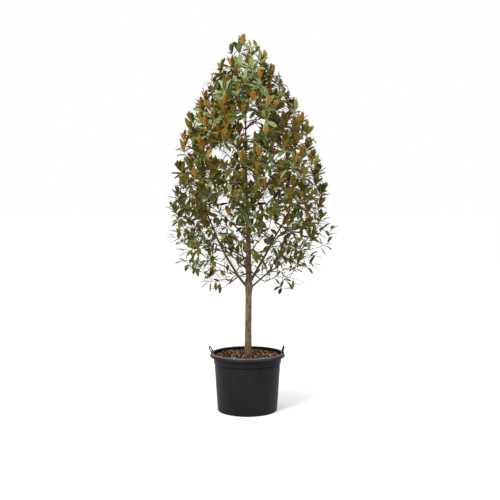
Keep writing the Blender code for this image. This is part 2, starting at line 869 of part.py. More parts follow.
def main():
    clear_scene()
    collection = new_collection("potted_magnolia")
    cutters = new_collection("cutters")
    materials = {
        "pot": new_material("pot_plastic", (0.030, 0.030, 0.034), 0.45),
        "mulch": new_material("bark_mulch", (0.090, 0.045, 0.025), 0.90),
        "bark": new_material("bark", (0.150, 0.105, 0.070), 0.85),
        "leaves": new_material("leaves", (0.105, 0.150, 0.055), 0.45),
    }
    build_pot(materials["pot"], collection)
    for side, lean in HANDLE_LEANS.items():
        build_handle(side, lean, materials["pot"], collection)
    build_root_ball(materials["mulch"], collection)
    build_tree(materials, collection, cutters)


main()
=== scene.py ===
import math
import random

import bmesh
import bpy
import numpy as np
from mathutils import Matrix, Vector, noise


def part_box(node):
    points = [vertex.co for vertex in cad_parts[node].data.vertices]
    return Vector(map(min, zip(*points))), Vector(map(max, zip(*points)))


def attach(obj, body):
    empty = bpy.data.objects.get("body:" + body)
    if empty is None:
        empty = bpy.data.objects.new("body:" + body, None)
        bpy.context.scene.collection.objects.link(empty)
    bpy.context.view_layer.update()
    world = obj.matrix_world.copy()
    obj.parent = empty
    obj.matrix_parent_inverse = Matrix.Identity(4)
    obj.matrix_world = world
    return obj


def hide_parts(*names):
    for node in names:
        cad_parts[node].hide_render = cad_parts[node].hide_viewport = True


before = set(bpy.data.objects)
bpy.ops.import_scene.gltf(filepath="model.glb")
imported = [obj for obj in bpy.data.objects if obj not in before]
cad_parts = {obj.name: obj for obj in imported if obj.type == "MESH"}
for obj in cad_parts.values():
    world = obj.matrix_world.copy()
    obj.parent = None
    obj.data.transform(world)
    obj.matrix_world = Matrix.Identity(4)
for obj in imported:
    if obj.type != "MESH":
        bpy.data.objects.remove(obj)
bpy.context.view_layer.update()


# The pot is a nursery container of thick black polyethylene, moulded in one piece: a flat
# foot, a tapered wall, a stepped collar with a bead on it, and a rolled rim. It has stood
# outdoors, so the gloss is uneven and dust lies on what faces up; that pale film is also a
# painted highlight on the upward faces. Painted shade darkens what faces down and what lies
# in shadow: the inside, the groove under the collar and the rim's foot.
pot_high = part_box("pot")[1]
POT_HEIGHT = pot_high.z
RIM_RADIUS = pot_high.x
RIM_DEPTH = 0.030
RIM_ROLL = 0.008
MOUTH_RADIUS = 0.272
COLLAR_RADIUS = 0.268
COLLAR_FOOT = 0.378
BEAD_HEIGHT = 0.393
BEAD_OUT = 0.0012
STEP_HEIGHT = 0.006
GROOVE_WIDTH = 0.009
BASE_RADIUS = 0.238
POT_WALL = 0.004
POT_TAPER = math.tan(math.radians(3.7))
POT_SEGMENTS = 192
POT_WARP = 0.0011


def joined_mesh(name, corners, faces, paints=None, spread=None):
    """A mesh from arrays of corners and of faces that all have as many sides.

    Paints are the faces' materials, and spread is a flat map of the corners.
    """
    mesh = bpy.data.meshes.new(name)
    mesh.vertices.add(len(corners))
    mesh.vertices.foreach_set("co", np.asarray(corners, np.float32).ravel())
    mesh.loops.add(faces.size)
    mesh.loops.foreach_set("vertex_index", faces.astype(np.int32).ravel())
    mesh.polygons.add(len(faces))
    mesh.polygons.foreach_set("loop_start", np.arange(0, faces.size, faces.shape[1], dtype=np.int32))
    if paints is not None:
        mesh.polygons.foreach_set("material_index", paints.astype(np.int32))
    if spread is not None:
        flat_map = mesh.uv_layers.new(name="spread")
        flat_map.data.foreach_set("uv", spread[faces.ravel()].astype(np.float32).ravel())
    mesh.update(calc_edges=True)
    mesh.validate()
    return mesh


def new_object(name, data):
    thing = bpy.data.objects.new(name, data)
    bpy.context.scene.collection.objects.link(thing)
    return thing


def add_piece(name, mesh, materials, sharp=None):
    """An object for a mesh, riding on the whole tree. Sharp is the angle that stays an edge."""
    if sharp is not None:
        mesh.shade_smooth()
        mesh.set_sharp_from_angle(angle=math.radians(sharp))
    for material in materials:
        mesh.materials.append(material)
    piece = new_object(name, mesh)
    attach(piece, "root")
    return piece


def band_faces(rings, sides):
    """Four-sided faces between rings of corners, each ring closed on itself."""
    ring, side = np.meshgrid(np.arange(rings - 1), np.arange(sides), indexing="ij")
    here = ring * sides + side
    beside = ring * sides + (side + 1) % sides
    return np.stack([here, beside, beside + sides, here + sides], -1).reshape(-1, 4)


def rounded(corners, steps=4):
    """A profile whose corners (radius, height, rounding) are turned into small arcs."""
    points = []
    for i, (radius, height, rounding) in enumerate(corners):
        corner = Vector((radius, height))
        if not rounding:
            points.append(corner)
            continue
        first = corner + (Vector(corners[i - 1][:2]) - corner).normalized() * rounding
        last = corner + (Vector(corners[i + 1][:2]) - corner).normalized() * rounding
        for step in range(steps + 1):
            t = step / steps
            points.append(first * (1 - t) ** 2 + corner * 2 * t * (1 - t) + last * t * t)
    return points


def wall_radius(height):
    return BASE_RADIUS + height * POT_TAPER


def pot_profile():
    """The pot's wall from the middle of its underside up to the rim and down the inside."""
    rim_foot = POT_HEIGHT - RIM_DEPTH
    step_foot = COLLAR_FOOT - STEP_HEIGHT
    inside = COLLAR_RADIUS - POT_WALL
    floor = 0.005
    return rounded([
        (0.001, 0.0, 0),
        (BASE_RADIUS - 0.001, 0.0, 0.005),
        (wall_radius(0.12), 0.12, 0),
        (wall_radius(0.25), 0.25, 0),
        (wall_radius(step_foot - 0.018), step_foot - 0.018, 0.003),
        (wall_radius(step_foot) - 0.0027, step_foot - 0.002, 0),
        (wall_radius(step_foot) - 0.0030, step_foot, 0),
        (wall_radius(step_foot) - 0.0030, COLLAR_FOOT, 0.001),
        (COLLAR_RADIUS, COLLAR_FOOT, 0.001),
        (COLLAR_RADIUS + 0.0002, BEAD_HEIGHT - 0.007, 0),
        (COLLAR_RADIUS + BEAD_OUT, BEAD_HEIGHT, 0.004),
        (COLLAR_RADIUS + 0.0006, BEAD_HEIGHT + 0.007, 0),
        (COLLAR_RADIUS + 0.0020, rim_foot, 0.003),
        (RIM_RADIUS - 0.0040, rim_foot - 0.0005, 0.003),
        (RIM_RADIUS, rim_foot + 0.0040, 0.003),
        (RIM_RADIUS - 0.0055, POT_HEIGHT - RIM_ROLL / 2, 0.003),
        (RIM_RADIUS - 0.0105, POT_HEIGHT, 0.003),
        (MOUTH_RADIUS, POT_HEIGHT - 0.001, 0.004),
        (inside, rim_foot, 0.004),
        (inside, COLLAR_FOOT + STEP_HEIGHT, 0.003),
        (wall_radius(COLLAR_FOOT) - POT_WALL, COLLAR_FOOT, 0.003),
        (wall_radius(floor) - POT_WALL, floor, 0),
        (0.001, floor, 0),
    ])


def turned_mesh(name, profile):
    """The profile turned about the pot's axis, very slightly out of round.

    Paint 0 is the outside with the lip. Paint 1 is painted shade, a darker plastic on what lies
    in shadow: the inside, the groove under the collar and the rim's foot.
    """
    turn = np.arange(POT_SEGMENTS) * 2 * math.pi / POT_SEGMENTS
    warp = POT_WARP * (np.sin(2 * turn + 0.6) + 0.6 * np.sin(3 * turn + 2.0))
    radius = np.array([point.x for point in profile])[:, None]
    height = np.array([point.y for point in profile])[:, None]
    reach = radius + warp * np.clip(height / POT_HEIGHT, 0, 1) * (radius > 0.1)
    reach -= POT_WARP * (radius > 0.28)
    corners = np.stack([reach * np.cos(turn), reach * np.sin(turn), height + 0 * turn], -1)
    mouth = max(i for i, point in enumerate(profile) if point.x > MOUTH_RADIUS - 0.001)
    level = (height[1:, 0] + height[:-1, 0]) / 2
    groove = abs(level - COLLAR_FOOT + GROOVE_WIDTH / 2) < GROOVE_WIDTH / 2
    rim_foot = abs(level - POT_HEIGHT + RIM_DEPTH) < 0.004
    # Painted shade: the groove, the rim's foot and the inside get the dark plastic because they lie in
    # shadow.
    painted_shade = groove | rim_foot | (np.arange(len(level)) >= mouth)
    paints = np.repeat(painted_shade, POT_SEGMENTS)
    faces = band_faces(len(profile), POT_SEGMENTS)
    return joined_mesh(name, corners.reshape(-1, 3), faces, paints)


def plug(tree, value, socket):
    """Link a value that changes over the surface to a socket, or set a plain one on it."""
    if isinstance(value, bpy.types.NodeSocket):
        tree.links.new(value, socket)
    else:
        socket.default_value = value


def add_node(tree, kind, **values):
    node = tree.nodes.new("ShaderNode" + kind)
    for name, value in values.items():
        plug(tree, value, node.inputs[name.replace("_", " ")])
    return node


def mixed(tree, share, first, second):
    """A colour between two others."""
    node = tree.nodes.new("ShaderNodeMix")
    node.data_type = "RGBA"
    for index, value in ((0, share), (6, first), (7, second)):
        plug(tree, value, node.inputs[index])
    return node.outputs[2]


def calculated(tree, operation, *values):
    node = tree.nodes.new("ShaderNodeMath")
    node.operation = operation
    for value, socket in zip(values, node.inputs):
        plug(tree, value, socket)
    return node.outputs[0]


def ranged(tree, value, low, high, to_low=0.0, to_high=1.0):
    """A value taken from one range to another and kept inside it."""
    node = add_node(tree, "MapRange", Value=value, From_Min=low, From_Max=high,
                    To_Min=to_low, To_Max=to_high)
    return node.outputs["Result"]


def facing_up(tree):
    """How far the surface faces up, from -1 to 1."""
    normal = add_node(tree, "NewGeometry").outputs["Normal"]
    return add_node(tree, "SeparateXYZ", Vector=normal).outputs["Z"]


def new_effect(name, inputs, outputs):
    """An empty shader group with named inputs (name, kind, value) and outputs (name, kind)."""
    tree = bpy.data.node_groups.new(name, "ShaderNodeTree")
    for label, kind, value in inputs:
        socket = tree.interface.new_socket(label, in_out="INPUT", socket_type="NodeSocket" + kind)
        socket.default_value = value
    for label, kind in outputs:
        tree.interface.new_socket(label, in_out="OUTPUT", socket_type="NodeSocket" + kind)
    return tree, tree.nodes.new("NodeGroupInput").outputs, tree.nodes.new("NodeGroupOutput").inputs


def placed_effect(tree, effect, **values):
    node = tree.nodes.new("ShaderNodeGroup")
    node.node_tree = effect
    for name, value in values.items():
        plug(tree, value, node.inputs[name.replace("_", " ")])
    return node.outputs


def patches_effect():
    """Soft patches of any size and stretch: a mask with a set contrast, and their height."""
    tree, given, result = new_effect(
        "patches",
        [
            ("Scale", "Float", 10.0),
            ("Stretch", "Vector", (1.0, 1.0, 1.0)),
            ("Detail", "Float", 4.0),
            ("Low", "Float", 0.4),
            ("High", "Float", 0.6),
        ],
        [("Mask", "Float"), ("Height", "Float")],
    )
    place = add_node(tree, "TexCoord").outputs["Object"]
    stretch = add_node(tree, "VectorMath")
    stretch.operation = "MULTIPLY"
    plug(tree, place, stretch.inputs[0])
    plug(tree, given["Stretch"], stretch.inputs[1])
    cloud = add_node(
        tree, "TexNoise", Vector=stretch.outputs[0], Scale=given["Scale"], Detail=given["Detail"]
    )
    plug(tree, ranged(tree, cloud.outputs["Fac"], given["Low"], given["High"]), result["Mask"])
    plug(tree, cloud.outputs["Fac"], result["Height"])
    return tree


def dust_and_sheen_effect(patches):
    """A pale film on what faces up, thinner and thicker in patches: dust, and a painted highlight
    where the sky would light the tops.
    """
    tree, given, result = new_effect(
        "dust_and_sheen",
        [
            ("Colour", "Color", (0.1, 0.1, 0.1, 1.0)),
            ("Dust", "Color", (0.2, 0.18, 0.15, 1.0)),
            ("Amount", "Float", 0.3),
            ("Scale", "Float", 30.0),
        ],
        [("Colour", "Color")],
    )
    cloud = placed_effect(tree, patches, Scale=given["Scale"], Low=0.05, High=0.75)
    lying = calculated(tree, "MULTIPLY", ranged(tree, facing_up(tree), 0.18, 0.85), cloud["Mask"])
    cover = calculated(tree, "MULTIPLY", lying, given["Amount"])
    plug(tree, mixed(tree, cover, given["Colour"], given["Dust"]), result["Colour"])
    return tree


def shade(red, green, blue):
    """A colour given as the eye reads it, 0 to 255, in the light's own units."""
    levels = [level / 255 for level in (red, green, blue)]
    linear = [c / 12.92 if c < 0.04045 else ((c + 0.055) / 1.055) ** 2.4 for c in levels]
    return (*linear, 1.0)


def new_material(name, roughness=0.5, specular=0.5):
    material = bpy.data.materials.new(name)
    material.use_nodes = True
    tree = material.node_tree
    surface = tree.nodes["Principled BSDF"]
    surface.inputs["Roughness"].default_value = roughness
    surface.inputs["Specular IOR Level"].default_value = specular
    return material, tree, surface


def add_bump(tree, surface, height, strength, distance):
    bump = add_node(tree, "Bump", Height=height, Strength=strength, Distance=distance)
    plug(tree, bump.outputs["Normal"], surface.inputs["Normal"])


patches = patches_effect()
dust_and_sheen = dust_and_sheen_effect(patches)


def pot_plastic(name, dust_and_sheen_amount, dark=1.0):
    """Black plastic. Dark below 1 darkens its colours and gloss: a little for the handles, and at 0.35
    as painted shade for the parts that lie in shadow.
    """
    material, tree, surface = new_material(name, specular=0.09 * dark)
    broad = placed_effect(tree, patches, Scale=5.0, Detail=3.0, Low=0.35, High=0.70)
    drawn = placed_effect(tree, patches, Scale=1.0, Stretch=(60.0, 60.0, 3.0), Low=0.40, High=0.75)
    greys = ((17, 17, 20), (23, 23, 26), (31, 31, 34))
    tones = [shade(*(level * dark for level in grey)) for grey in greys]
    colour = mixed(tree, broad["Mask"], *tones[:2])
    colour = mixed(tree, calculated(tree, "MULTIPLY", drawn["Mask"], 0.5), colour, tones[2])
    # Painted shade: faces that look down are turned near-black, as little light reaches them.
    under = ranged(tree, facing_up(tree), -0.25, -0.80)
    colour = mixed(tree, under, colour, shade(6, 6, 7))
    # The pale film is dust and also a painted highlight on what faces up.
    film = placed_effect(
        tree, dust_and_sheen, Colour=colour, Dust=shade(158, 154, 156), Amount=dust_and_sheen_amount, Scale=14.0
    )
    plug(tree, film["Colour"], surface.inputs["Base Color"])
    plug(tree, ranged(tree, drawn["Height"], 0.0, 1.0, 0.34, 0.62), surface.inputs["Roughness"])
    peel = placed_effect(tree, patches, Scale=420.0, Detail=2.0)
    height = calculated(tree, "MULTIPLY_ADD", peel["Height"], 0.15, drawn["Height"])
    add_bump(tree, surface, height, 0.35, 0.0012)
    return material


# The second plastic is painted shade: the same plastic made darker for what lies in shadow.
plastics = [pot_plastic("pot_plastic", 0.56), pot_plastic("painted_shade_plastic", 0.0, 0.35)]
pot = add_piece("pot_shell", turned_mesh("pot_shell", pot_profile()), plastics, 35)
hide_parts("pot")


# Each handle is a loop of the same plastic that stands on the rim, with a wider foot at
# either end. Hands keep it clean, so it has only a trace of the pale film of dust and painted
# highlight. Both have been pulled outwards, the left one further.
HANDLE_SPAN = 0.110
HANDLE_RISE = 0.048
HANDLE_CORNER = 0.018
HANDLE_THICKNESS = 0.0095
HANDLE_SEAT = 0.281
HANDLE_STUB = 0.006
HANDLE_FOOT_SWELL = 0.55
HANDLE_FOOT_LENGTH = 0.004
HANDLE_SIDES = 16
HANDLE_LEANS = {"left": math.radians(31), "right": math.radians(14)}


def tube_arrays(points, radii, sides, relief=None):
    """Corners and faces of a limb through the points, closed at both ends.

    The relief, where there is one, gives a corner's change of radius from its angle and place.
    """
    points = np.asarray(points, float)
    ways = np.gradient(points, axis=0)
    ways /= np.linalg.norm(ways, axis=1)[:, None]
    across = np.cross(ways[0], (0.31, 0.87, 0.38))
    across /= np.linalg.norm(across)
    turn = np.arange(sides) * 2 * math.pi / sides
    rings = []
    for point, way, radius in zip(points, ways, radii):
        across = across - way * across.dot(way)
        across /= np.linalg.norm(across)
        beside = np.cross(way, across)
        outward = np.cos(turn)[:, None] * across + np.sin(turn)[:, None] * beside
        reach = np.full(sides, float(radius))
        if relief is not None:
            places = point + radius * outward
            reach += [relief(angle, Vector(place)) for angle, place in zip(turn, places)]
        rings.append(point + outward * reach[:, None])
    corners = np.concatenate(rings + [points[:1], points[-1:]])
    faces = band_faces(len(points), sides)
    faces = np.concatenate([faces[:, [0, 1, 2]], faces[:, [0, 2, 3]]])
    side = np.arange(sides)
    first = len(corners) - 2
    last_ring = (len(points) - 1) * sides
    near = np.stack([np.full(sides, first), (side + 1) % sides, side], -1)
    far = np.stack([np.full(sides, first + 1), last_ring + side, last_ring + (side + 1) % sides], -1)
    return corners, np.concatenate([faces, near, far])


def merged(parts):
    """Several (corners, faces) as one."""
    corners = []
    faces = []
    count = 0
    for part_corners, part_faces in parts:
        corners.append(part_corners)
        faces.append(part_faces + count)
        count += len(part_corners)
    return np.concatenate(corners), np.concatenate(faces)


def handle_arrays(way, lean):
    """One loop: up, round, along and down again, leaning out from the rim."""
    half = HANDLE_SPAN / 2
    middle = half - HANDLE_CORNER
    outline = [(-half, height) for height in np.linspace(0.0, HANDLE_RISE - HANDLE_CORNER, 6)]
    for centre, first in ((-middle, 180), (middle, 90)):
        for step in range(9):
            angle = math.radians(first - 90 * step / 8)
            outline.append((centre + HANDLE_CORNER * math.cos(angle),
                            HANDLE_RISE - HANDLE_CORNER * (1 - math.sin(angle))))
    outline += [(half, height) for height in np.linspace(HANDLE_RISE - HANDLE_CORNER, 0.0, 6)]
    points = []
    radii = []
    for along, height in outline:
        leant = max(height - HANDLE_STUB, 0.0)
        across = HANDLE_SEAT + leant * math.sin(lean)
        up = POT_HEIGHT - 0.001 + min(height, HANDLE_STUB) + leant * math.cos(lean)
        points.append((way * across, along, up))
        swell = HANDLE_FOOT_SWELL * math.exp(-height / HANDLE_FOOT_LENGTH)
        radii.append(HANDLE_THICKNESS / 2 * (1 + swell))
    return tube_arrays(points, radii, HANDLE_SIDES)


clean_plastic = pot_plastic("handle_plastic", 0.05, 0.90)
for side, lean in HANDLE_LEANS.items():
    way = -1.0 if side == "left" else 1.0
    mesh = joined_mesh("handle_" + side, *handle_arrays(way, lean))
    handle = add_piece("handle_" + side, mesh, [clean_plastic], 50)
    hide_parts("pot_handle_" + side)


# The root ball is bark-based potting mix. On top lies a mulch of broken pine bark: flat
# chips of every brown, loosely settled, some of them pale where they split.
MULCH_HEIGHT = 0.437
MULCH_RADIUS = 0.2638
MULCH_RINGS = 50
CHIPS = 2100
CHIP_SHAPES = 14
CHIP_LENGTHS = (0.010, 0.030)
CHIP_TILT = 0.38
CHIP_LIFT = 0.0065
TRUNK_ROOM = 0.030
TRUNK_OFFSET = 0.007
CHIP_KINDS = {
    "dark": ((26, 16, 10), (50, 33, 22), 0.41),
    "brown": ((62, 41, 27), (106, 74, 50), 0.23),
    "red": ((90, 53, 31), (142, 92, 60), 0.16),
    "tan": ((150, 108, 74), (208, 166, 128), 0.13),
    "grey": ((104, 88, 74), (160, 144, 126), 0.07),
}
mulch_chance = random.Random(5)


def mulch_height(x, y):
    """The top of the mix: a little higher in the middle and uneven all over."""
    share = math.hypot(x, y) / MULCH_RADIUS
    rough = noise.noise(Vector((x * 30, y * 30, 1.7)))
    rough += 0.6 * noise.noise(Vector((x * 75, y * 75, 4.1)))
    return MULCH_HEIGHT - 0.003 - 0.005 * share**2 + 0.0030 * rough


def mix_mesh():
    """The mix: its uneven top, and its side and underside a little inside the pot's wall."""
    turn = np.arange(POT_SEGMENTS) * 2 * math.pi / POT_SEGMENTS
    corners = []
    for ring in range(MULCH_RINGS):
        reach = MULCH_RADIUS * max(ring, 0.02) / (MULCH_RINGS - 1)
        for angle in turn:
            x = reach * math.cos(angle)
            y = reach * math.sin(angle)
            corners.append((x, y, mulch_height(x, y)))
    ledge = COLLAR_FOOT + STEP_HEIGHT
    foot = 0.0055
    below = [
        (MULCH_RADIUS, ledge + 0.001),
        (wall_radius(COLLAR_FOOT) - POT_WALL - 0.0005, ledge - 0.002),
        (wall_radius(foot) - POT_WALL - 0.0005, foot),
        (0.001, foot),
    ]
    for reach, height in below:
        for angle in turn:
            corners.append((reach * math.cos(angle), reach * math.sin(angle), height))
    faces = band_faces(MULCH_RINGS + len(below), POT_SEGMENTS)
    return joined_mesh("potting_mix", np.array(corners), faces)


def chip_shape(chance):
    """A broken flake of bark, about one unit long: the hull round some scattered points."""
    work = bmesh.new()
    for _ in range(11):
        way = Vector([chance.gauss(0, 1) for _ in range(3)]).normalized()
        work.verts.new((way.x * 0.5, way.y * 0.5, way.z * 0.5))
    hull = bmesh.ops.convex_hull(work, input=work.verts)
    spare = [piece for piece in hull["geom_interior"] if isinstance(piece, bmesh.types.BMVert)]
    bmesh.ops.delete(work, geom=spare, context="VERTS")
    bmesh.ops.recalc_face_normals(work, faces=work.faces)
    bmesh.ops.triangulate(work, faces=work.faces)
    work.verts.index_update()
    corners = np.array([corner.co[:] for corner in work.verts])
    faces = np.array([[corner.index for corner in face.verts] for face in work.faces])
    work.free()
    return corners, faces


def chip_bark(kind, dark, light):
    """Pine bark of one kind, its grain between a dark and a light brown."""
    material, tree, surface = new_material("bark_chip_" + kind, 0.85, 0.15)
    grain = placed_effect(tree, patches, Scale=160.0, Detail=5.0, Low=0.35, High=0.70)
    colour = mixed(tree, grain["Mask"], shade(*dark), shade(*light))
    plug(tree, colour, surface.inputs["Base Color"])
    add_bump(tree, surface, grain["Height"], 0.6, 0.0015)
    return material


def chips_mesh():
    """All the chips, each with its kind's number for a paint."""
    shares = [share for *_, share in CHIP_KINDS.values()]
    shapes = [chip_shape(mulch_chance) for _ in range(CHIP_SHAPES)]
    parts = []
    paints = []
    while len(parts) < CHIPS:
        reach = (MULCH_RADIUS - 0.006) * math.sqrt(mulch_chance.random())
        angle = mulch_chance.uniform(0, 2 * math.pi)
        x = reach * math.cos(angle)
        y = reach * math.sin(angle)
        length = mulch_chance.uniform(*CHIP_LENGTHS) * mulch_chance.uniform(0.7, 1.1)
        width = length * mulch_chance.uniform(0.45, 0.80)
        size = (length, width, length * mulch_chance.uniform(0.20, 0.42))
        near_trunk = math.hypot(x - TRUNK_OFFSET, y) < TRUNK_ROOM + length / 2
        if near_trunk or reach + length / 2 > MULCH_RADIUS + 0.001:
            continue
        pitch, roll = (mulch_chance.gauss(0, CHIP_TILT) for _ in range(2))
        tilt = Matrix.Rotation(pitch, 3, "X") @ Matrix.Rotation(roll, 3, "Y")
        turn = np.array(Matrix.Rotation(mulch_chance.uniform(0, 6.28), 3, "Z") @ tilt)
        corners, faces = mulch_chance.choice(shapes)
        lift = mulch_height(x, y) + mulch_chance.uniform(0.0, CHIP_LIFT)
        parts.append(((corners * size) @ turn.T + (x, y, lift), faces))
        kind = mulch_chance.choices(range(len(shares)), shares)[0]
        paints.append(np.full(len(faces), kind))
    return joined_mesh("mulch_chips", *merged(parts), np.concatenate(paints))


chip_materials = [chip_bark(kind, dark, light) for kind, (dark, light, _) in CHIP_KINDS.items()]
mix = add_piece("potting_mix", mix_mesh(), [chip_materials[0]], 60)
add_piece("mulch_chips", chips_mesh(), chip_materials)
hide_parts("root_ball")


# The trunk is one straight leader with smooth grey-brown bark: fine wrinkles, corky dots,
# and a low ring where each year's leaves stood. It flares into the roots at the mulch and
# swells where the first boughs leave it.
TRUNK_TOP = 2.780
TRUNK_STAND = 0.014
TRUNK_SWAY = 0.007
TRUNK_SWAY_LENGTH = 1.56
TRUNK_SIDE_SWAY = 0.006
TRUNK_SIDE_SWAY_LENGTH = 1.94
TRUNK_LEAN = 0.013
TRUNK_TIP_RADIUS = 0.003
TRUNK_GIRTH = 0.0232
FLARE = 0.0040
FLARE_HEIGHT = 0.090
FORK_HEIGHT = 0.970
FORK_SWELL = 0.0050
FORK_LENGTH = 0.050
TRUNK_SIDES = 72
TRUNK_STEP = 0.0065
BUTTRESSES = 4
BUTTRESS_DEPTH = 0.0018
BUTTRESS_HEIGHT = 0.055
TRUNK_WRINKLES = 0.0011
BARK_WAVES = ((7, 22, 0, 0.35), (14, 9, 7, 0.45), (1.4, 8, 3, 0.90), (0.7, 95, 0, 0.35))


def trunk_place(height):
    rise = height - MULCH_HEIGHT
    sway = -TRUNK_SWAY * math.cos(2 * math.pi * rise / TRUNK_SWAY_LENGTH)
    side_sway = TRUNK_SIDE_SWAY * math.sin(math.pi * rise / TRUNK_SIDE_SWAY_LENGTH)
    return Vector((TRUNK_STAND + sway - TRUNK_LEAN * rise, side_sway, height))


def trunk_radius(height):
    share = (height - MULCH_HEIGHT) / (TRUNK_TOP - MULCH_HEIGHT)
    taper = TRUNK_TIP_RADIUS + TRUNK_GIRTH * (1 + math.cos(math.pi * min(share, 1.0))) / 2
    flare = FLARE * math.exp(-(height - MULCH_HEIGHT) / FLARE_HEIGHT)
    fork = FORK_SWELL * math.exp(-(((height - FORK_HEIGHT) / FORK_LENGTH) ** 2))
    return taper + flare + fork


def bark_wrinkles(angle, place, depth):
    """Relief on a limb: fine wrinkles, ridges along it, wide lumps and rings.

    Each wave has how often it changes around and along the limb, its start and its share.
    """
    x = math.cos(angle)
    y = math.sin(angle)
    relief = 0.0
    for around, along, start, share in BARK_WAVES:
        relief += share * noise.noise(Vector((x * around, y * around, place.z * along + start)))
    return depth * relief


def bark_material(name, dark, mid, light, grain_scale, young=None):
    """Bark: mottled, with fine lines along the limb and pale corky dots.

    Young colours, where given, take over with height on a trunk's upper part: partly younger
    bark, partly painted shade where the crown shades the trunk.
    """
    material, tree, surface = new_material(name, 0.82, 0.25)
    if young:
        # Painted shade and younger bark: from 0.95 m to 1.40 m up, the colours darken into the young
        # ones.
        place = add_node(tree, "SeparateXYZ", Vector=add_node(tree, "TexCoord").outputs["Object"])
        share = ranged(tree, place.outputs["Z"], 0.95, 1.40)
        dark, mid, light = (mixed(tree, share, *pair) for pair in zip((dark, mid, light), young))
    broad = placed_effect(tree, patches, Scale=14.0, Stretch=(1.0, 1.0, 0.45), Low=0.36, High=0.66)
    lines = placed_effect(tree, patches, Scale=grain_scale, Stretch=(1.0, 1.0, 0.30), Detail=6.0,
                          Low=0.38, High=0.62)
    dots = placed_effect(tree, patches, Scale=grain_scale * 1.6, Stretch=(1.0, 1.0, 1.7),
                         Detail=1.0, Low=0.66, High=0.74)
    colour = mixed(tree, broad["Mask"], dark, mid)
    lined = mixed(tree, calculated(tree, "MULTIPLY", lines["Mask"], 0.6), colour, light)
    plug(tree, mixed(tree, calculated(tree, "MULTIPLY", dots["Mask"], 0.7), lined, light),
         surface.inputs["Base Color"])
    height = calculated(tree, "MULTIPLY_ADD", dots["Mask"], 0.6, lines["Height"])
    add_bump(tree, surface, height, 0.8, 0.002)
    return material


# The boughs leave the trunk at a steep slant and taper evenly. The ones in plain sight are
# set one by one, and those inside the leaves follow one rule.
TIERS = {
    "skirt": (1.140, 0.400, (20, 92, 164, 236, 308)),
    "lower": (1.410, 0.450, (345, 45, 105, 160, 222, 290)),
    "middle": (1.730, 0.430, (12, 72, 140, 197, 250, 308)),
    "upper": (2.040, 0.375, (30, 102, 174, 246, 318)),
    "high": (2.340, 0.270, (350, 62, 134, 206, 278)),
    "crest": (2.620, 0.160, (40, 130, 220, 310)),
}
TIERS_ON_BOUGHS = ("skirt", "lower", "middle", "upper")
TOP_MASS_HEIGHT = 2.870
SIDES = ("right", "back_right", "back", "back_left", "left", "front_left", "front", "front_right")
SEEN_BOUGHS = {
    "middle_left": ("trunk", 0.968, 197, 0.343, 1.600, -0.10, 0.0220),
    "skirt_left": ("middle_left", 0.24, 170, 0.300, 1.185, 0.05, 0.0110),
    "lower_left": ("trunk", 1.190, 158, 0.320, 1.325, 0.05, 0.0150),
    "middle_back_left": ("trunk", 1.345, 148, 0.350, 1.615, 0.05, 0.0140),
    "middle_right": ("trunk", 0.995, 12, 0.345, 1.580, 0.00, 0.0215),
    "lower_right": ("trunk", 0.960, 342, 0.425, 1.262, 0.03, 0.0160),
    "skirt_right": ("lower_right", 0.42, 16, 0.290, 1.080, 0.06, 0.0090),
    "lower_back_right": ("middle_right", 0.50, 38, 0.360, 1.395, 0.03, 0.0110),
    "lower_front": ("trunk", 1.232, 296, 0.300, 1.395, 0.05, 0.0130),
}
HIDDEN_BOUGH_SHARE = 0.55
HIDDEN_BOUGH_DROP = 0.100
HIDDEN_BOUGH_CLIMB = math.radians(47)
HIDDEN_BOUGH_BOW = 0.04
HIDDEN_BOUGH_THICKNESS = 0.65
LOWEST_BOUGH = 1.000
BOUGH_SPACING = 0.030
BOUGHS_A_TURN = 5
BOUGH_TAPER = 0.48
BOUGH_SIDES = 20
BOUGH_STEP = 0.007
BOUGH_KINK = 0.006
BOUGH_KINKS = 4.5
BOUGH_COLLAR = 0.40
BOUGH_COLLAR_LENGTH = 0.030
BOUGH_WRINKLES = 0.0005
SEAT_SWELL = 0.32
SEAT_LENGTH = 1.3
SEAT_SWING = 0.75
KINK_SEED = 1
UP = Vector((0.0, 0.0, 1.0))


def polar(bearing, reach, height):
    turn = math.radians(bearing)
    return Vector((reach * math.cos(turn), reach * math.sin(turn), height))


def tier_of(name):
    return name.split("_")[0]


def mass_homes():
    """Bearing, reach and height of the middle of each mass of leaves, by its name.

    A tier is a ring of masses: its height, its reach and the bearing of each mass.
    """
    homes = {}
    for tier, (height, reach, bearings) in TIERS.items():
        for bearing in bearings:
            homes[tier + "_" + SIDES[round(bearing / 45) % len(SIDES)]] = (bearing, reach, height)
    homes["top"] = (0.0, 0.0, TOP_MASS_HEIGHT)
    return homes


def hidden_bough(home, order):
    """A bough that leaves hide, from the trunk up towards the middle of its mass."""
    bearing, reach, height = home
    tip_reach = reach * HIDDEN_BOUGH_SHARE
    tip_height = height - HIDDEN_BOUGH_DROP
    foot = tip_height - tip_reach * math.tan(HIDDEN_BOUGH_CLIMB)
    foot = max(foot, LOWEST_BOUGH + BOUGH_SPACING * order)
    bow = HIDDEN_BOUGH_BOW * (1 if order % 2 else -1)
    thickness = HIDDEN_BOUGH_THICKNESS * trunk_radius(foot)
    return ("trunk", foot, bearing, tip_reach, tip_height, bow, thickness)


def bowed(start, tip, bow, share):
    """The place a share of the way along a bowed line."""
    middle = (start + tip) / 2 + UP * 2 * bow * (tip - start).length
    return start * (1 - share) ** 2 + middle * 2 * share * (1 - share) + tip * share**2


